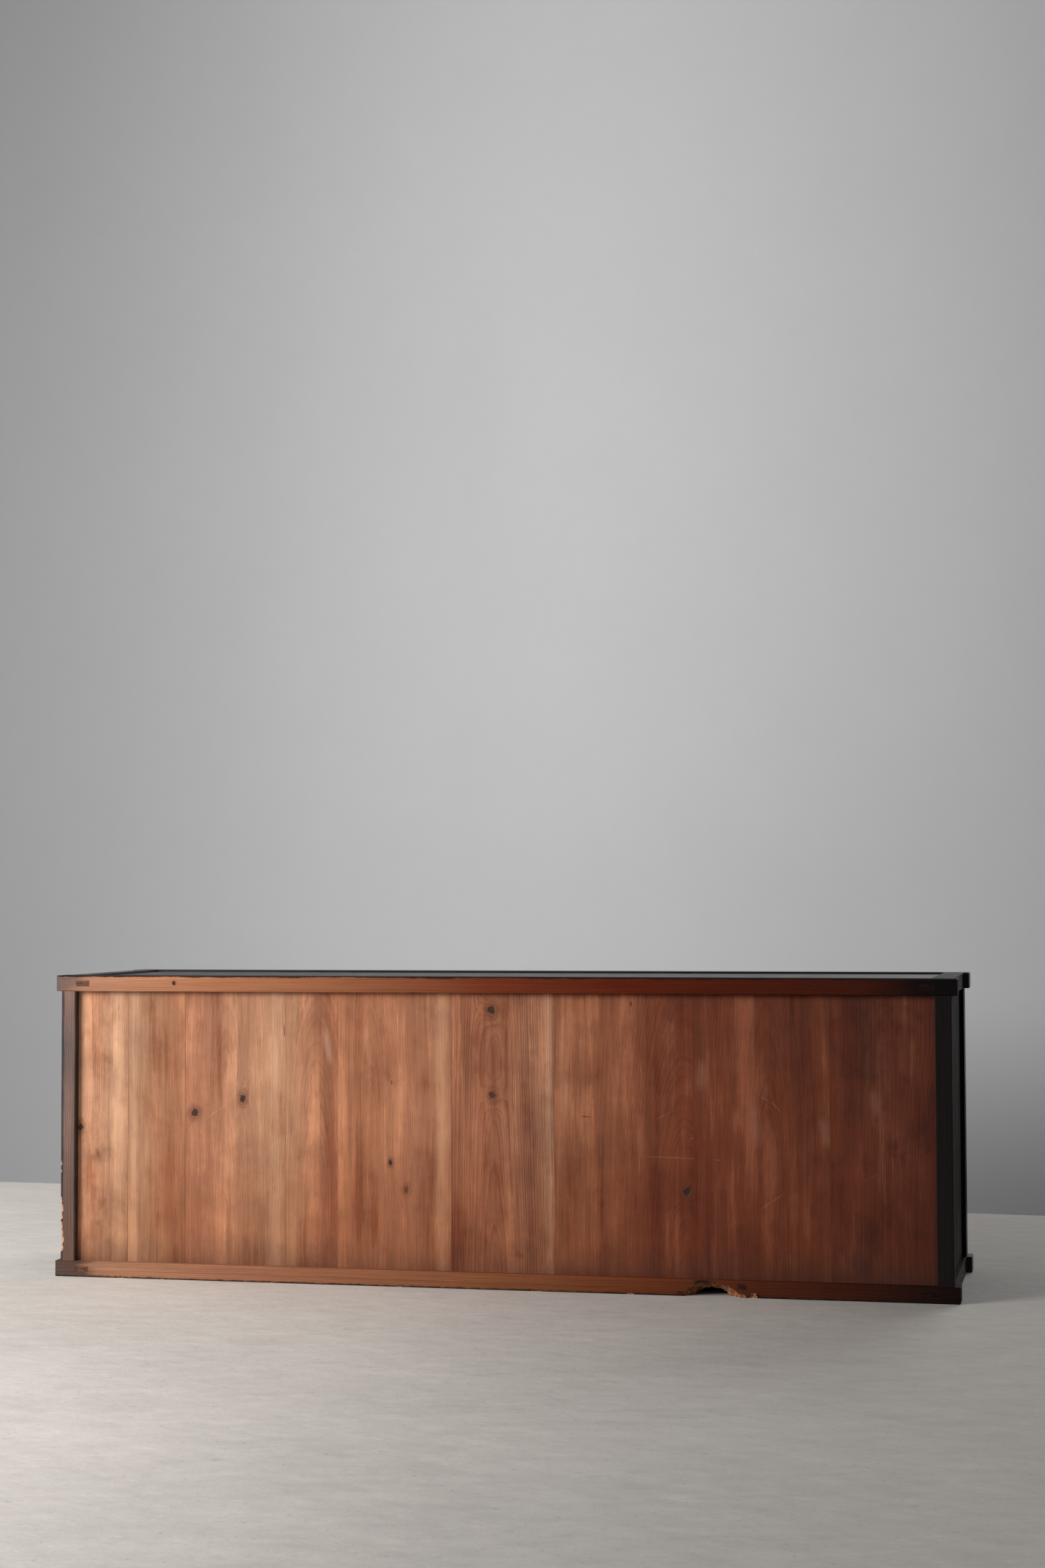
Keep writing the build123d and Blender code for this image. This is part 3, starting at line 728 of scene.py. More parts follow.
@dataclass(frozen=True)
class Wood(Finish):
    """Bare or stained wood with rings, fibres, knots, marks, rubbed arrises and grime."""

    early: Colour = OLD_GRIME
    late: Colour = END_GRAIN
    grain: Grain = Grain.UPRIGHT
    heart: Spot = (0.0, 0.1)
    taper: float = 0.05
    ring: float = 0.0045
    waver: float = 0.006
    seed: float = 0.0
    contrast: float = 0.6
    ridge: float = 0.0003
    fuzz: float = 0.00008
    rough: float = 0.62
    streaks: float = 0.16
    fibres: float = 0.16
    threads: float = 0.3
    faint: float = 0.3
    knots: tuple[Knot, ...] = ()
    marks: tuple[Mark, ...] = ()
    rub: Colour | None = None
    rub_reach: float = 0.0025
    rub_share: float = 0.6
    grime: float = 0.5
    end_tone: float = 0.55
    specular: float = 0.15

    def lay(self, coat: Coat) -> None:
        """Lay the wood, its marks and its wear."""
        flat = self.grain.turn(coat)
        bulge: Level = 0.0
        knots = []
        for knot in self.knots:
            push, *looks = coat.use(
                coat.effects.knot, Place=flat, Centre=(knot.across, 0.0, knot.along), Size=knot.size,
                Tall=knot.tall,
            )
            bulge = push + bulge
            knots.append((knot.dark, looks))
        late, tone, fibre, streak = coat.use(
            coat.effects.figure, Place=flat, Heart=(*self.heart, 0.0), Taper=self.taper, Ring=self.ring,
            Waver=self.waver, Seed=self.seed, Bulge=bulge,
        )
        shown = flat.cloud((19.0, 19.0, 3.2), 3.0, 0.6).step(0.38, 0.6, self.faint, 1.0)
        wood = self.paint(coat, late * tone.around(self.contrast * 0.5, self.contrast * 0.5) * shown)
        gain = streak.around(self.streaks * 2.2, 1.0) + fibre.around(self.fibres) + tone.around(0.07)
        gain = gain + flat.cloud((190.0, 190.0, 6.0), 3.0, 0.7).around(self.threads)
        wood = coat.times(wood, gain)
        wood = coat.mix(self.grain.butt(coat) * (1 - self.end_tone), wood, END_GRAIN)
        height = late * self.ridge + fibre * self.fuzz
        for dark, (core, halo, rings) in knots:
            wood = coat.mix(halo * (0.36 * dark), wood, KNOT_HALO)
            wood = coat.mix(rings * (0.42 * dark), wood, KNOT_RING)
            wood = coat.mix(core * (0.92 * dark), wood, KNOT_CORE)
            height = height + core * -0.0006
        for mark in self.marks:
            wood = coat.mix(mark.mask(coat, flat), wood, mark.colour)
        rough = streak.around(0.08, self.rough) - late * 0.08
        coat.surface(self.soil_and_shade(coat, wood), rough, height, self.specular)

    def paint(self, coat: Coat, lines: Wire) -> Wire:
        """Colour the early and late wood."""
        return coat.mix(lines, self.early, self.late)

    def soil_and_shade(self, coat: Coat, wood: Wire) -> Wire:
        """Add the grime of years, and rub the arrises bare.

        Args:
            coat: The sheet.
            wood: The clean wood's colour.

        Returns:
            The colour with grime and wear.
        """
        grime = coat.stain(0.16, 0.56, 0.16, self.seed)[0] * (self.grime * 0.5)
        wood = coat.mix(grime, wood, OLD_GRIME)
        if self.rub is None:
            return wood
        return coat.mix(coat.wear(self.box, self.rub_reach, self.seed) * self.rub_share, wood, self.rub)


@dataclass(frozen=True)
class BackBoard(Wood):
    """A cedar board of the back, darker at its seams and towards the bottom, with painted shade along the
    frame, deepest towards the corners, and a painted highlight beside the post at the lit end.
    """

    seam: Spot = (-1.0, 1.0)
    far: Colour = OLD_GRIME
    contrast: float = 0.36
    ridge: float = 0.00014
    shade_low: float = 0.5
    bands: float = 0.9
    frame_foot: Spot = (0.03, 0.105)
    frame_head: Spot = (0.52, 0.575)
    frame_side: Spot = (0.828, 0.845)
    # Where the painted highlight beside the post at the lit end fades in.
    painted_highlight: Spot = (0.775, 0.822)

    def paint(self, coat: Coat, lines: Wire) -> Wire:
        """Colour the rings over broad upright bands, some rubbed pale and some left red. In the pale bands
        the late wood is lifted, partly rubbed and partly a painted highlight on the ridges.

        Args:
            coat: The sheet.
            lines: Where late wood shows.

        Returns:
            The board's colour.
        """
        moved = coat.place.shift(self.seed)
        level = moved.cloud((21.0, 1.0, 1.9)).around(0.38, 0.5)
        level = level + moved.cloud((75.0, 1.0, 4.0), 4.0, 0.7).around(0.3)
        level = level + moved.cloud((10.0, 1.0, 7.0), 5.0, 0.65).around(0.3)
        base = coat.mix(coat.place.split()[0].step(*self.seam), self.early, self.far)
        red = coat.times(base, (0.66, 0.5, 0.4, 1.0))
        pale = coat.mix(0.04, coat.times(base, (1.38, 1.4, 1.36, 1.0)), tint(226, 188, 158))
        worn = level.step(0.5, 0.72, 0.0, self.bands)
        base = coat.mix(level.step(0.28, 0.5, self.bands, 0.0), base, red)
        base = coat.mix(worn, base, pale)
        drawn = coat.mix(lines, base, coat.times(base, (0.6, 0.48, 0.4, 1.0)))
        # Late wood made paler in the rubbed bands: partly wear, partly a painted highlight on the ridges.
        ridges_rubbed_and_lit = coat.mix(lines, base, coat.times(base, (1.22, 1.2, 1.16, 1.0)))
        return coat.mix(worn.step(0.45, 0.85), drawn, ridges_rubbed_and_lit)

    def soil_and_shade(self, coat: Coat, wood: Wire) -> Wire:
        """Draw the seams and grime, darken the board towards the bottom, paint shade along the frame and
        paint a highlight beside the post at the lit end.

        Args:
            coat: The sheet.
            wood: The clean board's colour.

        Returns:
            The colour with its dirt.
        """
        place = coat.place
        across, _deep, up = place.split()
        wood = coat.mix(coat.stain(0.11, 0.58, 0.2, self.seed)[0] * self.grime, wood, tint(62, 30, 19))
        smudge = coat.stain(0.032, 0.63, 0.13, self.seed + 9, place * (1.0, 1.0, 0.6))[0]
        wood = coat.times(wood, (0.6, 0.5, 0.43, 1.0), smudge * (self.grime * 1.5))
        drift = place.cloud((14.0, 1.0, 9.0), 3.0, 0.6).around(0.03)
        rise = up + drift
        # Painted shade and dirt where the boards meet the rails, at head and foot.
        foot = rise.step(*self.frame_foot, self.shade_low, 0.0)
        head = rise.step(*self.frame_head, 0.0, self.shade_low * 0.3)
        # Darker and warmer towards the bottom.
        wood = coat.times(wood, (0.84, 0.72, 0.62, 1.0), rise.step(0.08, 0.34, 0.75, 0.0))
        wood = coat.mix(foot.most(head), wood, tint(58, 33, 24))
        # Painted shade beside the posts, where the boards sit back behind them.
        side = (abs(across) + drift * 0.35).step(*self.frame_side, 0.0, 0.25)
        wood = coat.mix(side, wood, tint(48, 30, 24))
        # Painted highlight: the boards beside the post at the lit end are brightened out of the shadow that
        # the post casts.
        wood = coat.times(wood, (1.5, 1.46, 1.42, 1.0), (across + drift).step(*self.painted_highlight))
        near = abs(across - self.seam[0]).least(abs(across - self.seam[1]))
        seam = near + place.cloud((120.0, 1.0, 18.0), 3.0, 0.6).around(0.0009)
        return coat.mix(seam.step(0.0003, 0.0013, 0.3, 0.0), wood, tint(40, 21, 14))


@dataclass(frozen=True)
class FrameWood(Wood):
    """A rail or post of the back: a tone that changes along it, under what is left of a black stain."""

    along: int = 0
    span: Spot = (-0.881, 0.881)
    tones: tuple[tuple[float, Colour], ...] = ()
    rub: Colour = (1.0, 1.0, 1.0, 1.0)
    black_top: float = 0.0
    # How black the foot is: old stain and painted contact shadow.
    foot_stain_and_shade: float = 0.0
    black_edges: float = 0.5

    def paint(self, coat: Coat, lines: Wire) -> Wire:
        """Run the tone along the piece, with lines of late wood in it.

        Args:
            coat: The sheet.
            lines: Where late wood shows.

        Returns:
            The wood's colour.
        """
        stray = coat.place.cloud((3.0, 60.0, 60.0), 3.0, 0.6).around(0.05)
        share = (coat.place.split()[self.along] + stray).step(*self.span, course="LINEAR")
        base = share.ramp(self.tones)
        return coat.mix(lines, base, coat.times(base, (0.42, 0.34, 0.3, 1.0)))

    def soil_and_shade(self, coat: Coat, wood: Wire) -> Wire:
        """Leave black stain along the arrises, with a black foot that is partly stain and partly painted
        contact shadow, and rub it through again.

        Args:
            coat: The sheet.
            wood: The clean wood's colour.

        Returns:
            The colour with its stain, painted contact shadow and wear.
        """
        black = coat.wear(self.box, 0.006, self.seed + 2, 0.9) * self.black_edges
        up = coat.place.split()[2]
        foot, head = self.box[0][2], self.box[1][2]
        if self.black_top > 0:
            crown = up + coat.place.cloud((22.0, 1.0, 1.0), 4.0, 0.7).around(0.004)
            black = black.most(crown.step(head - 0.0036, head - 0.0016) * self.black_top)
        # Black along the foot of the rail: partly old stain, partly painted contact shadow where the rail
        # meets the floor.
        if self.foot_stain_and_shade > 0:
            ragged = up + coat.place.cloud(60.0, 3.0, 0.6).around(0.003)
            black = black.most(ragged.step(foot + 0.0015, foot + 0.0045, 1.0, 0.0) * self.foot_stain_and_shade)
        wood = coat.mix(black, wood, tint(17, 14, 13))
        bare = coat.wear(self.box, self.rub_reach, self.seed) * self.rub_share
        return coat.mix(bare, wood, coat.times(wood, self.rub))


@dataclass(frozen=True)
class Lacquer(Finish):
    """Old lacquer: dull sheen, dust, hair scratches, and wood showing where arrises are rubbed."""

    ground: Colour = (0.01, 0.009, 0.009, 1.0)
    under: Colour = (0.11, 0.045, 0.02, 1.0)
    grain: Grain = Grain.LENGTHWISE
    reach: float = 0.003
    worn: float = 0.7
    rough: float = 0.36
    dust: float = 0.25
    scuffs: float = 0.3
    figure: float = 0.25
    seed: float = 0.0
    specular: float = 0.3
    butt: Colour | None = None

    def lay(self, coat: Coat) -> None:
        """Lay the lacquer over its wood."""
        place = coat.place
        late, _tone, fibre, streak = coat.use(
            coat.effects.figure, Place=self.grain.turn(coat), Heart=(0.05, 0.2, 0.0), Ring=0.006,
            Waver=0.01, Seed=self.seed, Taper=0.08,
        )
        lit = coat.times(self.ground, (1.9, 1.55, 1.35, 1.0))
        base = coat.mix(late * self.figure, self.ground, lit)
        base = coat.times(base, streak.around(0.35, 1.0))
        rubbed = coat.wear(self.box, self.reach, self.seed, 0.8) * self.worn
        thin = coat.stain(0.09, 0.72, 0.05, self.seed + 4)[0] * (self.worn * 0.55)
        base = coat.mix(rubbed.most(thin), base, coat.times(self.under, fibre.around(0.35, 1.0)))
        if self.butt is not None:
            smear = place.cloud((60.0, 60.0, 240.0), 3.0, 0.65).step(0.42, 0.68)
            raw = tuple(min(1.0, part * gain) for part, gain in zip(self.butt, (2.6, 2.4, 2.1, 1.0)))
            base = coat.mix(self.grain.butt(coat), base, coat.mix(smear, self.butt, raw))
        lines = coat.use(coat.effects.scratches, Place=place, Seed=self.seed, Amount=self.scuffs)[0]
        base = coat.mix(lines * self.scuffs, base, tint(92, 80, 72))
        level = coat.normal.split()[2].step(0.3, 0.95, 0.25, 1.0)
        film, cloud = coat.stain(0.05, 0.5, 0.3, self.seed)
        specks = place.shift(self.seed).cloud(420.0).step(0.6, 0.75, 0.0, 0.5)
        dirt = (film * 0.3 + specks) * level * self.dust
        base = coat.mix(dirt, base, tint(140, 130, 120))
        rough = rubbed.most(dirt) * 0.3 + cloud.around(0.14, self.rough)
        height = late * 0.00004 + place.cloud(90.0) * 0.00012 + lines * -0.00005 + rubbed * -0.00012
        coat.surface(base, rough, height, self.specular)


@dataclass(frozen=True)
class Gnawed(Finish):
    """Raw wood that rodents chewed: golden splinters, darker with age in the hollows."""

    fresh: Colour = tint(132, 80, 48)
    old: Colour = tint(56, 28, 18)
    bright: Colour = tint(214, 168, 130)
    seed: float = 0.0

    def lay(self, coat: Coat) -> None:
        """Lay splinters along the rail and age in the hollows."""
        moved = coat.place.shift(self.seed)
        age = moved.cloud(95.0, 4.0, 0.7)
        level = moved.cloud((150.0, 420.0, 420.0), 3.0, 0.7) * 0.45 + age * 0.55
        base = coat.mix(level.step(0.38, 0.56), self.old, self.fresh)
        base = coat.mix(moved.cloud(430.0, 3.0, 0.7).step(0.55, 0.63) * 0.8, base, self.bright)
        coat.surface(base, age.around(0.1, 0.85), level * 0.0015, 0.15)


@dataclass(frozen=True)
class Iron(Finish):
    """Forged iron, black from the fire, with patches of brown rust and of paler, rubbed scale."""

    seed: float = 0.0

    def lay(self, coat: Coat) -> None:
        """Lay the iron's scale, rust and hammer marks."""
        rust = coat.stain(0.02, 0.6, 0.07, self.seed + 6)[0]
        base = coat.mix(coat.stain(0.012, 0.55, 0.12, self.seed)[0], tint(46, 43, 42), tint(68, 63, 60))
        base = coat.mix(rust * 0.75, base, tint(88, 50, 32))
        pits = coat.node("ShaderNodeTexVoronoi", feature="SMOOTH_F1")
        coat.fill((pits.inputs["Vector"], pits.inputs["Scale"]), (coat.place, 150.0))
        height = Wire(coat, pits.outputs["Distance"]) * 0.0003 + coat.place.cloud(900.0) * 0.00005
        coat.surface(base, rust * 0.25 + 0.45, height, metallic=0.7)


@dataclass(frozen=True)
class Ground(Finish):
    """A plain studio surface with the faint mottling of a trowelled floor or a painted wall."""

    base: Colour = tint(200, 201, 204)
    mottle: float = 0.08
    relief: float = 0.0003
    rough: float = 0.8
    trowel: float = 0.0
    fade: tuple[Spot, ...] = ((0.0, 1.0),)
    one_sided: bool = False

    def lay(self, coat: Coat) -> None:
        """Lay the mottling, the fine texture and the change of light along the set."""
        broad = coat.place.cloud(1.7, 4.0, 0.6)
        fine = coat.place.cloud(24.0, 5.0, 0.7)
        worked = (coat.place * (3.0, 9.0, 3.0)).cloud(1.6, 4.0, 0.65)
        gain = broad.around(self.mottle * 1.5, 1.0) + fine.around(self.mottle) + worked.around(self.mottle)
        if self.trowel:
            gain = gain + self.sweeps(coat)
        across = coat.place.split()[0]
        share = across.calc("MULTIPLY_ADD", across, 0.25, 0.5, use_clamp=True)
        stops = [(place / 4 + 0.5, (level, level, level, 1.0)) for place, level in self.fade]
        tone = coat.times(coat.times(self.base, gain), share.ramp(stops, "B_SPLINE"))
        coat.surface(tone, broad.around(0.08, self.rough), fine * self.relief)
        if self.one_sided:
            self.open_from_behind(coat)

    def sweeps(self, coat: Coat) -> Wire:
        """Draw the short pale and dark sweeps that a trowel leaves, in two directions, and its pits.

        Args:
            coat: The sheet.

        Returns:
            How much paler or darker they are.
        """
        found = []
        for turn in (0.5, -0.35):
            turned = coat.place.turned((0.0, 0.0, turn))
            streak = turned.cloud((16.0, 95.0, 1.0), 4.0, 0.68).step(0.6, 0.76) * (self.trowel * 1.4)
            found.append(streak + turned.cloud((8.0, 34.0, 1.0), 5.0, 0.72).around(self.trowel))
        pits = coat.place.cloud(75.0, 3.0, 0.6).step(0.62, 0.7)
        return found[0] + found[1] + pits * (-1.3 * self.trowel)

    @staticmethod
    def open_from_behind(coat: Coat) -> None:
        """Let a view from behind the wall, and the light of the lamp there, pass through it."""
        clear = coat.node("ShaderNodeBsdfTransparent")
        choice = coat.node("ShaderNodeMixShader")
        ray = coat.node("ShaderNodeLightPath")
        open_to = Wire(coat, coat.node("ShaderNodeNewGeometry").outputs["Backfacing"])
        for kind in ("Is Shadow Ray", "Is Diffuse Ray"):
            open_to = open_to.most(Wire(coat, ray.outputs[kind]))
        coat.fill(choice.inputs, (open_to, Wire(coat, coat.shell.outputs[0]), Wire(coat, clear.outputs[0])))
        coat.feed(coat.leave.inputs["Surface"], Wire(coat, choice.outputs[0]))


@dataclass
class Dresser:
    """Puts finishes on CAD nodes and on new pieces, and counts what it dressed."""

    effects: Effects = field(default_factory=Effects)
    dressed: set[str] = field(default_factory=set)

    def dress(self, piece: Piece, finish: Finish) -> None:
        """Give every material slot of a piece one finish."""
        made = finish.material(self.effects)
        if not piece.material_slots:
            piece.data.materials.append(made)
        for place in piece.material_slots:
            place.material = made

    def node(self, name: str, finish: Finish) -> None:
        """Give a CAD node a finish that knows the node's box."""
        self.dress(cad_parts[name], replace(finish, box=box_of(name)))
        self.dressed.add(name)
        LOG.info("dressed %s as %s", name, finish.name)

    def stand_in(self, piece: Piece, node: str, body: str) -> None:
        """Let a new piece stand for a CAD node.

        Args:
            piece: The new piece.
            node: The node that it replaces.
            body: The body that it rides on.
        """
        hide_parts(node)
        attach(piece, body)
        self.dressed.add(node)
        LOG.info("modelled %s with %d faces", piece.name, len(piece.data.polygons))


@contextmanager
def editing() -> Iterator[None]:
    """Work on the active piece in edit mode, with all of it selected to begin with."""
    bpy.ops.object.mode_set(mode="EDIT")
    bpy.ops.mesh.select_all(action="SELECT")
    yield
    bpy.ops.object.mode_set(mode="OBJECT")


class Facing(Enum):
    """The way that a new disc faces, by the axis that it is turned about."""

    ALONG_X = "Y"
    ALONG_Y = "X"
    UP = ""


class Bench:
    """Steps of modelling by hand that several pieces share."""

    @staticmethod
    def alone(piece: Piece) -> None:
        """Select one object and nothing else."""
        bpy.ops.object.select_all(action="DESELECT")
        piece.select_set(True)
        bpy.context.view_layer.objects.active = piece

    @staticmethod
    def copy(node: str, name: str) -> Piece:
        """Copy a CAD node's mesh as a new piece, with its loose triangles merged.

        Args:
            node: The CAD node.
            name: The new piece's name.

        Returns:
            The new object, which shares nothing with the node.
        """
        piece = Bench.another(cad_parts[node], name, ORIGIN)
        piece.data.materials.clear()
        Bench.alone(piece)
        with editing():
            bpy.ops.mesh.remove_doubles(threshold=0.00002)
            bpy.ops.mesh.dissolve_limited(angle_limit=math.radians(0.5))
        return piece

    @staticmethod
    def another(piece: Piece, name: str, place: Point) -> Piece:
        """Copy a piece with its own mesh.

        Args:
            piece: The piece to copy.
            name: The copy's name.
            place: How far the copy's mesh is shifted.

        Returns:
            The copy.
        """
        twin = bpy.data.objects.new(name, piece.data.copy())
        bpy.context.collection.objects.link(twin)
        twin.data.transform(Matrix.Translation(place))
        return twin

    @staticmethod
    def shape(size: Point, place: Point) -> Piece:
        """Give the new primitive its size and place in edit mode."""
        with editing():
            bpy.ops.transform.resize(value=size)
            bpy.ops.transform.translate(value=place)
        return bpy.context.object

    @staticmethod
    def lump(size: Point, place: Point) -> Piece:
        """Add a round lump of a size at a place."""
        bpy.ops.mesh.primitive_ico_sphere_add(subdivisions=4, radius=1.0, location=ORIGIN)
        return Bench.shape(size, place)

    @staticmethod
    def apply(piece: Piece, kind: str, **settings: object) -> None:
        """Add one modifier and apply it.

        Args:
            piece: The piece that it works on.
            kind: The modifier's type.
            **settings: Its properties.
        """
        Bench.alone(piece)
        step = piece.modifiers.new(kind.lower(), kind)
        for name, value in settings.items():
            setattr(step, name, value)
        bpy.ops.object.modifier_apply(modifier=step.name)

    @staticmethod
    def disc(radius: float, corners: int, facing: Facing) -> Piece:
        """Start a piece as a filled disc at the origin, left in edit mode with all of it selected.

        Args:
            radius: The disc's radius.
            corners: How many points go round it.
            facing: The way that it faces.

        Returns:
            The new object.
        """
        bpy.ops.object.select_all(action="DESELECT")
        bpy.ops.mesh.primitive_circle_add(
            vertices=corners, radius=radius, fill_type="NGON", location=ORIGIN,
        )
        bpy.ops.object.mode_set(mode="EDIT")
        bpy.ops.mesh.select_all(action="SELECT")
        if facing.value:
            bpy.ops.transform.rotate(value=math.pi / 2, orient_axis=facing.value, center_override=ORIGIN)
        return bpy.context.object

    @staticmethod
    def finish(piece: Piece, angle: float = 40.0) -> Piece:
        """Merge doubles, turn the faces outwards and shade smooth between hard edges.

        Args:
            piece: The piece.
            angle: The least angle of a hard edge, in degrees.

        Returns:
            The same piece.
        """
        Bench.alone(piece)
        with editing():
            bpy.ops.mesh.remove_doubles(threshold=0.00001)
            bpy.ops.mesh.normals_make_consistent(inside=False)
        bpy.ops.object.shade_smooth_by_angle(angle=math.radians(angle))
        return piece

    @staticmethod
    def together(pieces: list[Piece], name: str) -> Piece:
        """Join several objects into one.

        Args:
            pieces: The objects.
            name: The name of the one that is left.

        Returns:
            The joined object.
        """
        bpy.ops.object.select_all(action="DESELECT")
        for piece in pieces:
            piece.select_set(True)
        bpy.context.view_layer.objects.active = pieces[0]
        bpy.ops.object.join()
        pieces[0].name = name
        return pieces[0]

    @staticmethod
    def dent(
        piece: Piece, kind: str, size: float, strength: float, level: float, **settings: object,
    ) -> None:
        """Push a piece's surface in and out by a procedural texture.

        Args:
            piece: The piece.
            kind: The texture's type.
            size: How wide one dent is.
            strength: How deep it is.
            level: The texture's level that stays in place.
            **settings: Other properties of the texture.
        """
        made = bpy.data.textures.new(f"{kind.lower()}_{size:g}", kind)
        made.noise_scale = size
        for name, value in settings.items():
            setattr(made, name, value)
        Bench.apply(
            piece, "DISPLACE", texture=made, strength=strength, mid_level=level, texture_coords="LOCAL",
        )

    @staticmethod
    def teeth(lumps: list[Piece], bite: float, tooth: float, voxel: float = 0.0011) -> Piece:
        """Join lumps into one cutter, and roughen it all over like gnawed wood.

        Args:
            lumps: The shapes to join.
            bite: How deep the tooth marks are.
            tooth: How wide one tooth mark is.
            voxel: The cutter's mesh size, in metres.

        Returns:
            The cutter.
        """
        cutter = Bench.together(lumps, "cutter")
        Bench.apply(cutter, "REMESH", mode="VOXEL", voxel_size=voxel)
        Bench.dent(cutter, "CLOUDS", tooth * 3.5, bite * 1.6, 0.45, noise_depth=2)
        Bench.dent(cutter, "VORONOI", tooth, bite, 0.3, distance_metric="DISTANCE")
        Bench.apply(cutter, "REMESH", mode="VOXEL", voxel_size=voxel * 0.8)
        return cutter

    @staticmethod
    def bite(piece: Piece, cutter: Piece) -> None:
        """Cut a roughened cutter out of a piece, and give the new faces the piece's second material."""
        for slot in range(2):
            cutter.data.materials.append(piece.data.materials[slot])
        for face in cutter.data.polygons:
            face.material_index = 1
        Bench.apply(
            piece, "BOOLEAN", operation="DIFFERENCE", solver="EXACT", material_mode="INDEX", object=cutter,
        )
        bpy.data.objects.remove(cutter, do_unlink=True)


@dataclass
class Bar:
    """A round bar that is drawn out from its selected end, which it keeps the place and radius of."""

    piece: Piece
    place: Vector
    radius: float

    @classmethod
    def start(cls, radius: float, corners: int, facing: Facing, place: Vector) -> "Bar":
        """Start a bar as a filled disc at a place."""
        piece = Bench.disc(radius, corners, facing)
        bpy.ops.transform.translate(value=tuple(place))
        return cls(piece, place, radius)

    def draw(self, end: Vector, radius: float) -> None:
        """Draw the end out to a new place and radius."""
        way = tuple(end - self.place)
        bpy.ops.mesh.extrude_region_move(TRANSFORM_OT_translate={"value": way})
        grow = radius / self.radius
        if grow != 1.0:
            bpy.ops.transform.resize(value=(grow, grow, grow), center_override=tuple(end))
        self.place, self.radius = end, radius

    def bend(self, centre: Vector, angle: float, end: Vector) -> None:
        """Bend the end round a centre to a new place, in the plane that a bail hangs in."""
        bpy.ops.mesh.spin(steps=9, angle=-angle, center=tuple(centre), axis=(0.0, 1.0, 0.0))
        self.place = end

    def done(self, angle: float = 40.0) -> Piece:
        """Leave edit mode and finish the piece."""
        bpy.ops.object.mode_set(mode="OBJECT")
        return Bench.finish(self.piece, angle)


PALE = tint(214, 172, 140)
DUSTY = tint(150, 112, 92)
DARK = tint(46, 24, 17)
TOP, FOOT = 0.87, -0.27


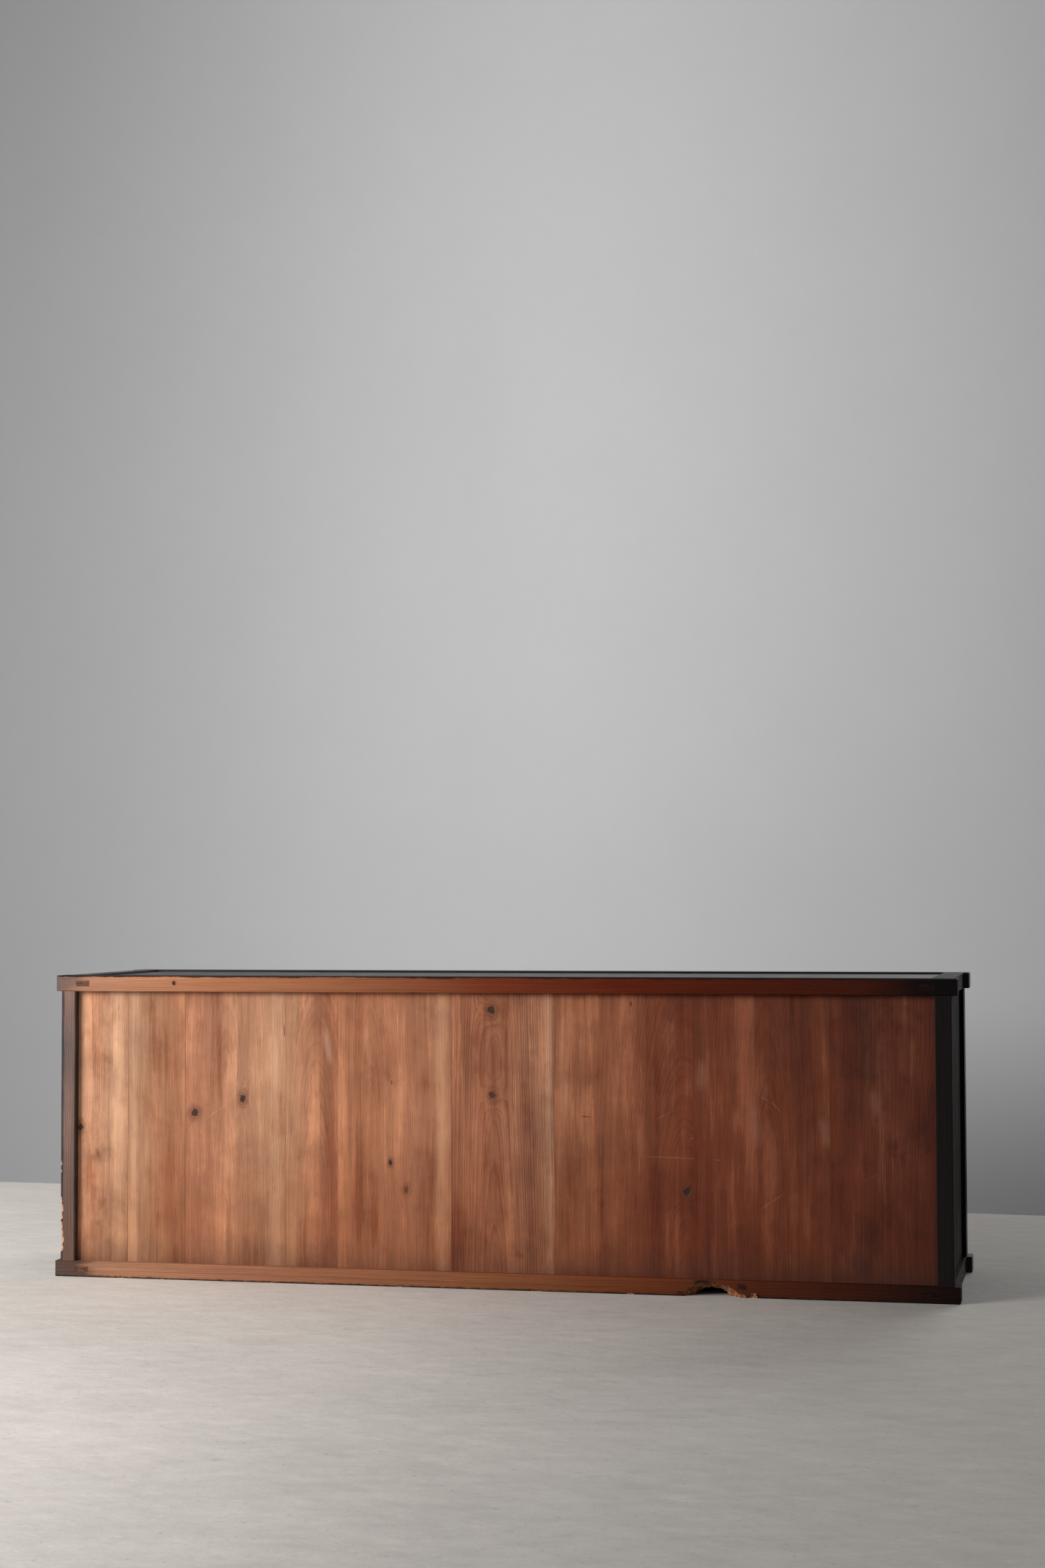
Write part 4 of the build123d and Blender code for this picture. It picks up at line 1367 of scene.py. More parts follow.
@dataclass
class BackPlanks:
    """The nine upright cedar boards of the back, from the end nearer the camera to the far end."""

    seams: tuple[float, ...] = (-0.84, -0.646, -0.39, -0.124, 0.077, 0.305, 0.410, 0.616, 0.735, 0.84)
    seed_step: float = 1.37

    def dress(self, dresser: Dresser) -> None:
        """Dress each board with its own figure, knots and marks."""
        for number, board in enumerate(self.boards(), start=1):
            name = f"back_board_{number}"
            seam = (self.seams[number - 1], self.seams[number])
            dresser.node(name, replace(
                board, name=f"{name}_cedar", seam=seam, seed=number * self.seed_step,
            ))

    @staticmethod
    def boards() -> tuple[BackBoard, ...]:
        """List what sets each board apart.

        Returns:
            The boards in order.
        """
        haze, band, hair, nick = Brush.HAZE.draw, Brush.BAND.draw, Brush.HAIR.draw, Brush.NICK.draw
        # The boards grow paler from the end near the camera to the far end: partly the cedar's own tone,
        # partly a painted falloff of light from the lit end.
        return (
            BackBoard(
                early=tint(87, 40, 24), far=tint(96, 45, 26), heart=(-0.86, 0.16), ring=0.0042, taper=0.02,
                shade_low=0.7, contrast=0.24,
                marks=haze(DUSTY, (-0.726, 0.39, -0.731, 0.33, 0.016, 0.22))
                + haze(DARK, (-0.70, 0.60, -0.72, 0.36, 0.035, 0.55), (-0.73, 0.16, -0.69, 0.03, 0.04, 0.6))
                + hair(DUSTY, (-0.69, 0.21, -0.74, 0.235, 0.0007, 0.2)),
            ),
            BackBoard(
                early=tint(97, 48, 28), far=tint(105, 51, 30), heart=(-0.525, 0.233), ring=0.0040,
                taper=0.105, waver=0.005, grime=0.28, contrast=0.6, faint=0.5, threads=0.2,
                marks=haze(
                    DUSTY, (-0.500, 0.375, -0.512, 0.27, 0.018, 0.22),
                    (-0.632, 0.34, -0.640, 0.27, 0.017, 0.21), (-0.407, 0.45, -0.404, 0.37, 0.018, 0.19),
                ) + hair(
                    PALE, (-0.507, 0.156, -0.566, 0.197, 0.0007, 0.17),
                    (-0.514, 0.371, -0.535, 0.362, 0.0007, 0.17),
                    (-0.535, 0.362, -0.556, 0.341, 0.0007, 0.17),
                ) + nick(PALE, (-0.43, 0.252, -0.44, 0.251, 0.0008, 0.17)),
            ),
            BackBoard(
                early=tint(106, 51, 30), far=tint(137, 84, 57), heart=(-0.372, 0.234), ring=0.0038,
                taper=-0.13, waver=0.004, grime=0.25, shade_low=0.45, contrast=0.6, faint=0.5, threads=0.2,
                knots=(Knot(-0.3787, 0.1913, 0.0115, 1.25),),
                marks=haze(tint(176, 126, 99), (-0.138, 0.53, -0.142, 0.30, 0.014, 0.30)) + hair(
                    PALE, (-0.315, 0.323, -0.355, 0.3435, 0.0007, 0.17),
                    (-0.28, 0.256, -0.434, 0.2523, 0.0008, 0.17),
                    (-0.378, 0.289, -0.406, 0.2966, 0.0007, 0.17),
                    (-0.1618, 0.3547, -0.1588, 0.315, 0.0008, 0.17),
                ) + Brush.PIT.draw(
                    DARK, (-0.205, 0.405, -0.2052, 0.403, 0.0022, 0.75),
                    (-0.196, 0.366, -0.197, 0.363, 0.0018, 0.7),
                ) + nick(DARK, (-0.173, 0.329, -0.199, 0.327, 0.0016, 0.6))
                + Brush.CRACK.draw(DARK, (-0.272, 0.547, -0.272, 0.535, 0.0022, 0.7)),
            ),
            BackBoard(
                early=tint(138, 90, 66), far=tint(146, 92, 66), heart=(-0.006, 0.238), ring=0.0042,
                taper=-0.045, waver=0.0035, grime=0.3, shade_low=0.35, contrast=0.8, ridge=0.0003,
                knots=(Knot(-0.0016, 0.527, 0.0115, 1.1), Knot(-0.003, 0.3655, 0.0101, 1.15, 0.85)),
                marks=band(PALE, (-0.112, TOP, -0.113, FOOT, 0.012, 0.24))
                + haze(tint(190, 142, 112), (-0.093, 0.50, -0.095, 0.10, 0.024, 0.22))
                + haze(DARK, (0.05, 0.52, 0.04, 0.30, 0.02, 0.15))
                + Brush.SMUDGE.draw(tint(120, 44, 30), (-0.065, 0.06, -0.045, 0.07, 0.010, 0.5)),
            ),
            BackBoard(
                early=tint(152, 100, 73), far=tint(160, 104, 74), heart=(0.24, 0.242), ring=0.0038,
                taper=0.08, grime=0.25, shade_low=0.35, contrast=0.5, faint=0.45, threads=0.22,
                knots=(Knot(0.1999, 0.2342, 0.0057, 1.4), Knot(0.1669, 0.1831, 0.0084, 1.3, 0.6)),
                marks=Brush.GLOW.draw(tint(208, 156, 120), (0.098, TOP, 0.097, FOOT, 0.022, 0.5))
                + haze(tint(196, 152, 124), (0.250, 0.51, 0.241, 0.41, 0.009, 0.22))
                + Brush.CRACK.draw(DARK, (0.1967, 0.3928, 0.1960, 0.382, 0.0016, 0.8))
                + haze(tint(110, 52, 34), (0.225, 0.52, 0.19, 0.36, 0.03, 0.19)),
            ),
            BackBoard(
                early=tint(148, 92, 65), far=tint(172, 122, 92), heart=(0.352, 0.234), ring=0.0038,
                taper=0.12, waver=0.005, grime=0.22, shade_low=0.35, streaks=0.2, contrast=0.6, faint=0.5,
                threads=0.2, marks=haze(tint(206, 168, 140), (0.330, 0.498, 0.319, 0.415, 0.0105, 0.32))
                + haze(tint(132, 62, 36), (0.318, 0.34, 0.315, 0.06, 0.018, 0.32))
                + band(tint(206, 158, 126), (0.395, TOP, 0.388, FOOT, 0.016, 0.21)),
            ),
            BackBoard(
                early=tint(170, 124, 95), far=tint(154, 102, 76), heart=(0.532, 0.231), ring=0.0038,
                taper=0.09, waver=0.004, grime=0.22, shade_low=0.35, contrast=0.5, faint=0.45, threads=0.22,
                knots=(Knot(0.596, 0.3231, 0.0121, 1.0, 0.95), Knot(0.498, 0.3527, 0.0097, 1.35)),
                marks=band(tint(222, 178, 146), (0.4308, TOP, 0.4300, FOOT, 0.018, 0.29))
                + nick(DARK, (0.4126, 0.50, 0.4127, 0.47, 0.0016, 0.7))
                + hair(PALE, (0.5729, 0.3118, 0.5357, 0.3387, 0.0008, 0.3)),
            ),
            BackBoard(
                early=tint(155, 102, 73), far=tint(172, 128, 99), heart=(0.56, 0.26), ring=0.0038,
                taper=0.03, grime=0.22, shade_low=0.35, streaks=0.2,
                marks=band(tint(222, 178, 144), (0.722, TOP, 0.722, FOOT, 0.012, 0.28))
                + haze(tint(140, 74, 46), (0.655, 0.30, 0.652, 0.06, 0.02, 0.30)),
            ),
            BackBoard(
                early=tint(168, 124, 96), far=tint(172, 128, 101), heart=(0.90, 0.25), ring=0.0038,
                taper=0.02, grime=0.4, knots=(Knot(0.8345, 0.2928, 0.0088, 1.5, 0.9),),
                marks=band(tint(226, 180, 146), (0.756, TOP, 0.757, FOOT, 0.021, 0.32))
                + Brush.BRUISE.draw(tint(92, 58, 44), (0.806, 0.255, 0.792, 0.230, 0.006, 0.4))
                + haze(tint(84, 52, 40), (0.80, 0.12, 0.81, 0.06, 0.022, 0.38)),
            ),
        )


@dataclass
class BackFrame:
    """The back rails and posts, brown at one end and black with old stain at the other."""

    hole: float = -0.4235
    bites: tuple[tuple[Point, Point], ...] = (
        ((0.0515, 0.030, 0.0285), (0.0, 0.004, -0.001)),
        ((0.0300, 0.050, 0.0145), (0.0, -0.025, 0.0)),
        ((0.0300, 0.0300, 0.0170), (0.0, -0.008, 0.0)),
        ((0.0090, 0.0045, 0.0085), (-0.077, 0.001, 0.001)),
        ((0.0140, 0.0035, 0.0050), (-0.052, 0.001, 0.003)),
    )
    chips: tuple[Point, ...] = (
        (0.742, 0.010, 0.0036), (0.66, 0.006, 0.0022), (0.44, 0.012, 0.0022), (0.18, 0.007, 0.0024),
        (-0.09, 0.014, 0.0024), (-0.27, 0.008, 0.0030),
    )
    gnaws: tuple[Point, ...] = (
        (0.058, 0.010, 0.0062), (0.072, 0.012, 0.0070), (0.087, 0.011, 0.0058), (0.100, 0.007, 0.0046),
        (0.119, 0.008, 0.0050), (0.134, 0.011, 0.0058), (0.149, 0.008, 0.0042), (0.206, 0.004, 0.0028),
        (0.222, 0.006, 0.0030),
    )

    def dress(self, dresser: Dresser) -> None:
        """Dress the rails and the posts, and model those that are gnawed."""
        rail = FrameWood(
            grain=Grain.LENGTHWISE, ring=0.0042, taper=0.012, waver=0.005, rub_reach=0.0017, rub_share=0.8,
            specular=0.05,
        )
        dresser.node("top_rail_back", replace(
            rail, name="top_rail_back_stained", heart=(0.68, 0.30), seed=31.0, black_top=0.9,
            black_edges=0.55, knots=(Knot(0.577, 0.635, 0.003),),
            tones=shades(
                (0.0, 10, 8, 8), (0.035, 17, 9, 8), (0.1, 58, 21, 10), (0.22, 71, 24, 9),
                (0.36, 87, 30, 12), (0.5, 106, 48, 25), (0.68, 136, 85, 58), (0.8, 152, 100, 71),
                (0.93, 162, 113, 86), (0.965, 154, 111, 87), (0.985, 115, 86, 77), (1.0, 98, 83, 79),
            ),
        ))
        self.gnawed_rail(dresser, replace(
            rail, name="bottom_rail_back_stained", heart=(0.12, 0.30), seed=37.0, foot_stain_and_shade=0.85,
            black_edges=0.35, rub=(1.55, 1.5, 1.45, 1.0),
            marks=Brush.INK.draw(
                tint(20, 17, 22), (0.0256, -0.386, 0.0264, -0.430, 0.0056, 0.95),
                (0.0225, -0.470, 0.0185, -0.493, 0.0060, 0.9),
            ) + Brush.DRIP.draw(tint(28, 16, 14), (0.0065, -0.356, 0.0035, -0.380, 0.0050, 0.8))
            + Brush.DRIP.draw(tint(34, 16, 12), (0.0045, -0.490, 0.0040, -0.520, 0.0060, 0.8)),
            tones=shades(
                (0.0, 17, 9, 8), (0.04, 34, 15, 9), (0.1, 54, 24, 14), (0.2, 77, 35, 19),
                (0.33, 99, 50, 27), (0.5, 124, 75, 48), (0.68, 141, 92, 66), (0.8, 149, 100, 75),
                (0.93, 158, 113, 86), (0.955, 149, 107, 83), (0.972, 86, 62, 53), (1.0, 81, 66, 59),
            ),
        ))
        self.gnawed_post(dresser)
        dresser.node("post_back_left", Lacquer(
            name="black_back_post", grain=Grain.UPRIGHT, ground=tint(20, 17, 16), under=tint(112, 54, 34),
            reach=0.0026, worn=0.75, rough=0.62, dust=0.03, specular=0.06, seed=23.0,
        ))

    def gnawed_rail(self, dresser: Dresser, finish: FrameWood) -> None:
        """Model the lower back rail with its chewed hole and splintered lower arris.

        Args:
            dresser: Gives the materials.
            finish: The finish of the rail's sound faces.
        """
        node = "bottom_rail_back"
        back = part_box(node)[1][1]
        lumps = [
            Bench.lump(size, (self.hole + aside, back + out, up)) for size, (aside, out, up) in self.bites
        ]
        for place, reach, rise in self.chips:
            lumps.append(Bench.lump((reach, 0.0022, rise), (place, back + 0.0008, 0.0)))
        rail = self.chewed(dresser, node, "gnawed_back_rail", finish, Gnawed(name="gnawed_rail_wood"))
        Bench.bite(rail, Bench.teeth(lumps, 0.0026, 0.0042))
        dresser.stand_in(rail, node, "carcase")

    def gnawed_post(self, dresser: Dresser) -> None:
        """Model the worn back post with its chewed outer arris."""
        node = "post_back_right"
        side, back, _top = (value + 0.0005 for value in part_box(node)[1])
        lumps = []
        for height, reach, depth in self.gnaws:
            lumps.append(Bench.lump((depth, depth * 1.1, reach), (side, back, height)))
        finish = FrameWood(
            name="worn_back_post", along=2, span=(0.0, 0.6), heart=(0.99, 0.3), ring=0.004, contrast=0.35,
            seed=21.0, black_edges=0.35, rub=(0.55, 0.62, 0.75, 1.0), rub_reach=0.006,
            tones=shades(
                (0.0, 98, 72, 60), (0.3, 96, 74, 66), (0.5, 116, 90, 80), (0.75, 94, 78, 74),
                (1.0, 122, 94, 84),
            ),
            marks=Brush.LINE.draw(tint(34, 35, 41), (0.8685, TOP, 0.8685, FOOT, 0.0052, 0.85))
            + Brush.SHADE.draw(tint(40, 32, 30), (0.8412, TOP, 0.8412, FOOT, 0.0026, 0.75)),
        )
        chewed = Gnawed(
            name="gnawed_post_wood", fresh=tint(176, 136, 108), old=tint(96, 66, 52),
            bright=tint(226, 192, 162), seed=3.0,
        )
        post = self.chewed(dresser, node, "gnawed_back_post", finish, chewed)
        Bench.bite(post, Bench.teeth(lumps, 0.0018, 0.0046))
        dresser.stand_in(post, node, "carcase")

    @staticmethod
    def chewed(dresser: Dresser, node: str, name: str, finish: FrameWood, raw: Gnawed) -> Piece:
        """Copy a piece of the frame to be chewed.

        Args:
            dresser: Gives the materials.
            node: The CAD node.
            name: The copy's name.
            finish: The finish of its sound faces.
            raw: The finish of its chewed faces.

        Returns:
            The copy, with both materials.
        """
        piece = Bench.copy(node, name)
        dresser.dress(piece, replace(finish, box=box_of(node)))
        piece.data.materials.append(raw.material(dresser.effects))
        return piece


@dataclass
class ForgedBail:
    """A bail drawn out of round bar, and the two eyes, rosette washers and clenched legs that hold it.

    Both are modelled about the middle of the hinge line, with X along it and -Y out of the drawer. In the
    tables the first number says how far along or how far out, and the second how wide, as a share.
    """

    half: float = 0.048
    bar: float = 0.003
    head: float = 0.0043
    pin: float = 0.0408
    shoulder: float = 0.056
    drop: float = 0.036
    draw_in: float = 0.005
    top_bend: float = 0.0046
    foot_bend: float = 0.013
    eye: float = 0.0065
    eye_half: float = 0.00245
    play: float = 0.0004
    standoff: float = 0.0095
    shank: float = 0.0021
    board: float = 0.02
    washer: float = 0.014
    lobes: int = 8
    lobe_points: int = 8
    lobe_depth: float = 0.085
    leg_stock: float = 0.0046
    arm: tuple[Spot, ...] = ((0.12, 0.98), (0.3, 0.87), (0.62, 0.87), (0.88, 0.96), (1.0, 1.0))
    grip: tuple[Spot, ...] = (
        (0.0335, 0.95), (0.0325, 1.2), (0.0318, 1.26), (0.0306, 1.26), (0.0299, 1.18), (0.0292, 0.95),
        (0.0262, 0.98), (0.0215, 1.12), (0.015, 1.27), (0.0075, 1.37), (0.0, 1.4),
    )
    dome: tuple[Spot, ...] = (
        (0.0007, 1.0), (0.0011, 0.965), (0.0012, 0.9), (0.0009, 0.86), (0.0014, 0.76), (0.0020, 0.55),
        (0.0023, 0.36), (0.0019, 0.33), (0.0021, 0.3), (0.0026, 0.27), (0.0026, 0.2), (0.0022, 0.165),
    )
    leg: tuple[Spot, ...] = ((0.004, 0.95), (0.0046, 0.8), (0.004, 0.55))

    def bail(self) -> Piece:
        """Draw the bar from its ball head round two bends to the swollen grip, and mirror it.

        Returns:
            The bail, hanging straight down.
        """
        tip = Vector((self.pin - self.head * 0.94, 0.0, 0.0))
        bar = Bar.start(self.head * 0.35, 16, Facing.ALONG_X, tip)
        for share in (-0.75, -0.4, 0.0, 0.4, 0.71):
            width = self.head * math.sqrt(1 - share * share)
            bar.draw(Vector((self.pin + self.head * share, 0.0, 0.0)), width)
        arm = Vector((-self.draw_in, 0.0, -self.drop)).normalized()
        turn = math.pi / 2 + math.asin(-arm.x)
        reach = self.top_bend * math.tan(turn / 2)
        corner = Vector((self.shoulder, 0.0, 0.0))
        start = corner + arm * reach
        bar.draw(corner - Vector((reach, 0.0, 0.0)), self.bar)
        bar.bend(bar.place - Vector((0.0, 0.0, self.top_bend)), turn, start)
        foot = Vector((self.shoulder - self.draw_in, 0.0, -self.drop))
        reach = self.foot_bend * math.tan((math.pi - turn) / 2)
        for share, width in self.arm:
            bar.draw(start.lerp(foot - arm * reach, share), self.bar * width)
        inward = Vector((-arm.z, 0.0, arm.x))
        bar.bend(bar.place - inward * self.foot_bend, math.pi - turn, foot - Vector((reach, 0.0, 0.0)))
        for along, width in self.grip:
            bar.draw(Vector((along, 0.0, foot.z)), self.bar * width)
        bpy.ops.mesh.delete(type="ONLY_FACE")
        bpy.ops.object.mode_set(mode="OBJECT")
        Bench.apply(
            bar.piece, "MIRROR", use_axis=(True, False, False), use_clip=True, merge_threshold=0.0001,
        )
        Bench.finish(bar.piece)
        Bench.apply(bar.piece, "SUBSURF", levels=1, render_levels=1)
        Bench.dent(bar.piece, "CLOUDS", 0.006, 0.0004, 1.0, noise_depth=1)
        return bar.piece

    def seat(self, side: int) -> Piece:
        """Model one eye with its shank, washer and legs.

        Args:
            side: 1 or -1 for the two ends of the hinge line.

        Returns:
            The seat's object.
        """
        unit = 0.001
        bore = self.bar + self.play
        ring = Bench.disc(unit, 12, Facing.UP)
        size = (self.eye_half / unit, (self.eye - bore) / 2 / unit, 1.0)
        bpy.ops.transform.resize(value=size, center_override=ORIGIN)
        bpy.ops.transform.translate(value=(0.0, (self.eye + bore) / 2, 0.0))
        bpy.ops.mesh.delete(type="ONLY_FACE")
        bpy.ops.mesh.select_all(action="SELECT")
        bpy.ops.mesh.spin(steps=32, angle=2 * math.pi, center=ORIGIN, axis=(1.0, 0.0, 0.0))
        bpy.ops.object.mode_set(mode="OBJECT")
        Bench.finish(ring)
        seat = Bench.together([ring, self.shaft(), self.rosette(), self.legs()], f"bail_seat_{side}")
        seat.data.transform(Matrix.Translation((side * self.half, 0.0, 0.0)))
        return seat

    def shaft(self) -> Piece:
        """Draw the shank from the eye through the drawer front, with a swell where it leaves the eye.

        Returns:
            The shank's object.
        """
        bar = Bar.start(self.shank, 16, Facing.ALONG_Y, Vector((0.0, self.eye - 0.0022, 0.0)))
        inside = self.standoff + self.board
        for along, width in (
            (self.eye - 0.0012, 1.38), (self.eye - 0.0004, 1.3), (self.eye + 0.0008, 1.0),
            (inside + 0.001, 1.0), (inside + 0.0018, 0.7),
        ):
            bar.draw(Vector((0.0, along, 0.0)), self.shank * width)
        return bar.done()

    def rosette(self) -> Piece:
        """Dish a thin plate into a low dome with a lobed rim and a raised bead round its bore.

        Returns:
            The washer's object.
        """
        piece = Bench.disc(self.washer, self.lobes * self.lobe_points, Facing.ALONG_Y)
        bpy.ops.object.mode_set(mode="OBJECT")
        half = self.lobe_points / 2
        for index, vertex in enumerate(piece.data.vertices):
            fall = abs((index + 0.5) % self.lobe_points - half) / half
            vertex.co *= 1 - self.lobe_depth * fall ** 2.2
        bpy.ops.object.mode_set(mode="EDIT")
        bpy.ops.mesh.select_all(action="SELECT")
        back = Vector((0.0, self.standoff, 0.0))
        bpy.ops.transform.translate(value=tuple(back))
        bar = Bar(piece, back, 1.0)
        for out, width in self.dome:
            bar.draw(Vector((0.0, self.standoff - out, 0.0)), width)
        return bar.done(50.0)

    def legs(self) -> Piece:
        """Clench the two legs of the split shank flat against the inside of the drawer front.

        Returns:
            The legs' object.
        """
        bpy.ops.object.select_all(action="DESELECT")
        bpy.ops.mesh.primitive_cube_add(size=1.0, location=ORIGIN)
        inside = self.standoff + self.board
        piece = Bench.shape((self.leg_stock, 0.002, self.leg_stock), (0.0, inside + 0.001, 0.0))
        for way in (-1, 1):
            for reach, narrow in self.leg:
                Bench.alone(piece)
                tip = max(way * vertex.co.z for vertex in piece.data.vertices)
                for face in piece.data.polygons:
                    face.select = way * face.center.z > tip - 0.00001
                bpy.ops.object.mode_set(mode="EDIT")
                bpy.ops.mesh.select_mode(type="FACE")
                bpy.ops.mesh.extrude_region_move(TRANSFORM_OT_translate={"value": (0.0, 0.0, way * reach)})
                centre = (0.0, inside, way * (tip + reach))
                bpy.ops.transform.resize(value=(narrow, narrow, 1.0), center_override=centre)
                bpy.ops.object.mode_set(mode="OBJECT")
        Bench.apply(piece, "BEVEL", width=0.00035, segments=2, limit_method="ANGLE")
        return Bench.finish(piece)

    def fit(self, dresser: Dresser, numbers: range) -> None:
        """Hang a bail and its seats on each drawer.

        Args:
            dresser: Gives the materials.
            numbers: The drawers' numbers.
        """
        bail = self.bail()
        seats = Bench.together([self.seat(1), self.seat(-1)], "bail_seats")
        for number in numbers:
            node = f"drawer_{number}_bail"
            low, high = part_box(node)
            place = ((low[0] + high[0]) / 2, (low[1] + high[1]) / 2, high[2] - self.head)
            for model, name, stands_for, body in (
                (bail, f"forged_bail_{number}", node, f"bail_{number}"),
                (seats, f"forged_bail_seats_{number}", f"{node}_eyes", f"drawer_{number}"),
            ):
                piece = Bench.another(model, name, place)
                dresser.dress(piece, Iron(name=f"{name}_iron", seed=150.0 + 3.0 * number))
                dresser.stand_in(piece, stands_for, body)
        for model in (bail, seats):
            bpy.data.objects.remove(model, do_unlink=True)


@dataclass
class FingerPull:
    """A recessed iron pull: a beaded rim round a long dished cup, held by four small nails."""

    length: float = 0.074
    width: float = 0.024
    flange: float = 0.005
    plate: float = 0.001
    sheet: float = 0.00055
    nail: float = 0.0012
    insets: tuple[Spot, ...] = (
        (0.0006, 0.00001), (0.0003, 0.0003), (0.0001, 0.0005), (-0.0004, 0.0008), (0.0, 0.0016),
        (0.0003, 0.0006), (0.0001, 0.0006), (-0.0001, 0.0006), (-0.0012, 0.0007), (-0.0035, 0.0005),
        (-0.0025, 0.0012), (-0.0007, 0.0022), (-0.0001, 0.0022),
    )
    nail_head: tuple[Spot, ...] = ((0.0002, 0.9), (0.0004, 0.6), (0.00048, 0.25))

    def plate_and_cup(self) -> Piece:
        """Draw the rim and the cup out of one long rounded plate, and give the sheet its thickness.

        Returns:
            The pull, with the door's face at y = 0 and -Y out of the door.
        """
        piece = Bench.disc(self.width / 2, 48, Facing.ALONG_Y)
        bpy.ops.object.mode_set(mode="OBJECT")
        slide = (self.length - self.width) / 2
        for vertex in piece.data.vertices:
            vertex.co.z += slide if vertex.co.z > 0 else -slide
        with editing():
            for out, inward in self.insets:
                bpy.ops.mesh.inset(thickness=inward, depth=0.0)
                bpy.ops.transform.translate(value=(0.0, -out, 0.0))
        Bench.finish(piece)
        Bench.apply(piece, "SOLIDIFY", thickness=self.sheet, offset=-1.0)
        return Bench.finish(piece, 35.0)

    def fit(self, dresser: Dresser, sides: tuple[str, ...]) -> None:
        """Set a pull in each door.

        Args:
            dresser: Gives the materials.
            sides: The doors' names.
        """
        cup = self.plate_and_cup()
        for number, side in enumerate(sides):
            node, name = f"door_{side}_pull", f"finger_pull_{side}"
            low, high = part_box(node)
            place = ((low[0] + high[0]) / 2, low[1] + self.plate, (low[2] + high[2]) / 2)
            parts = [Bench.another(cup, name, place)]
            for across, up in ((-1, 1), (1, 1), (-1, -1), (1, -1)):
                parts.append(self.stud(place, across, up))
            pull = Bench.together(parts, name)
            dresser.dress(pull, Iron(name=f"{name}_iron", seed=170.0 + 4.0 * number))
            dresser.stand_in(pull, node, f"door_{side}")
        bpy.data.objects.remove(cup, do_unlink=True)

    def stud(self, place: Point, across: int, up: int) -> Piece:
        """Raise one nail head on the rim of a pull.

        Args:
            place: The pull's middle.
            across: 1 or -1 for the rim's two sides.
            up: 1 or -1 for its two ends.

        Returns:
            The nail's object.
        """
        spot = Vector(place) + Vector((
            across * (self.width - self.flange) / 2, -self.plate * 0.45,
            up * (self.length - self.width) / 2,
        ))
        bar = Bar.start(self.nail, 12, Facing.ALONG_Y, spot)
        for out, width in self.nail_head:
            bar.draw(spot + Vector((0.0, -out, 0.0)), self.nail * width)
        return bar.done(60.0)


@dataclass
class LacqueredCase:
    """The top, the ends and the front frame, in black lacquer worn at the arrises."""

    rails_long: tuple[str, ...] = ("top_rail_front", "bottom_rail_front")
    rails_deep: tuple[str, ...] = (
        "top_rail_left", "top_rail_right", "bottom_rail_left", "bottom_rail_right",
    )
    posts: tuple[str, ...] = ("post_front_left", "post_front_right", "front_mullion")
    ends: tuple[str, ...] = ("side_panel_left", "side_panel_right")
    seed: float = 40.0
    seed_step: float = 1.7

    def dress(self, dresser: Dresser) -> None:
        """Dress each lacquered node."""
        frame_black = Lacquer(ground=tint(16, 13, 12), under=tint(104, 56, 36), reach=0.0032, dust=0.16)
        end_black = replace(frame_black, ground=tint(21, 15, 13), reach=0.0024, figure=0.5, rough=0.5)
        count = self.seed
        for nodes, grain, black in (
            (self.rails_long, Grain.LENGTHWISE, frame_black), (self.rails_deep, Grain.DEEP, frame_black),
            (self.posts, Grain.UPRIGHT, frame_black), (self.ends, Grain.UPRIGHT_SIDE, end_black),
        ):
            for node in nodes:
                count += self.seed_step
                gloss = 0.02 if node.endswith("left") else 0.2
                dresser.node(node, replace(
                    black, name=f"{node}_lacquer", grain=grain, seed=count, butt=self.tenon_tone(node),
                    specular=gloss,
                ))
        dresser.node("top_boards", Lacquer(
            name="top_boards_lacquer", grain=Grain.LENGTHWISE_FLAT, ground=tint(22, 19, 18),
            under=tint(92, 52, 36), rough=0.38, dust=0.14, scuffs=0.5, figure=0.7, seed=61.0,
        ))

    def tenon_tone(self, node: str) -> Colour | None:
        """Choose the end grain of the through tenons: brown at the clean end, else near black."""
        if node not in self.rails_deep:
            return None
        return tint(66, 42, 30) if node.endswith("right") else tint(20, 12, 10)


@dataclass
class Interior:
    """Bare cedar inside: floor, shelf, partition, battens, joists and runners, each with its grime."""

    pieces: tuple[tuple[str, Grain, float], ...] = (
        ("top_battens", Grain.DEEP, 0.6), ("floor_boards", Grain.LENGTHWISE_FLAT, 0.35),
        ("floor_joists", Grain.DEEP, 0.7), ("inner_partition", Grain.UPRIGHT_SIDE, 0.25),
        ("cupboard_shelf", Grain.LENGTHWISE_FLAT, 0.3), ("shelf_cleats", Grain.LENGTHWISE, 0.4),
        ("drawer_runners", Grain.DEEP, 0.4), ("drawer_kicker", Grain.DEEP, 0.4),
    )
    cedar: Wood = Wood(
        early=tint(166, 118, 84), late=tint(118, 72, 46), ring=0.0044, rub=tint(196, 152, 116),
        rub_share=0.4,
    )

    def dress(self, dresser: Dresser) -> None:
        """Dress each inner node by the way its grain runs."""
        for number, (node, grain, grime) in enumerate(self.pieces):
            dresser.node(node, replace(
                self.cedar, name=f"{node}_cedar", grain=grain, heart=(0.03 * number, 0.12),
                seed=70.0 + 2.3 * number, grime=grime,
            ))
        dresser.node("drawer_rails", Lacquer(name="drawer_rails_lacquer", seed=97.0))


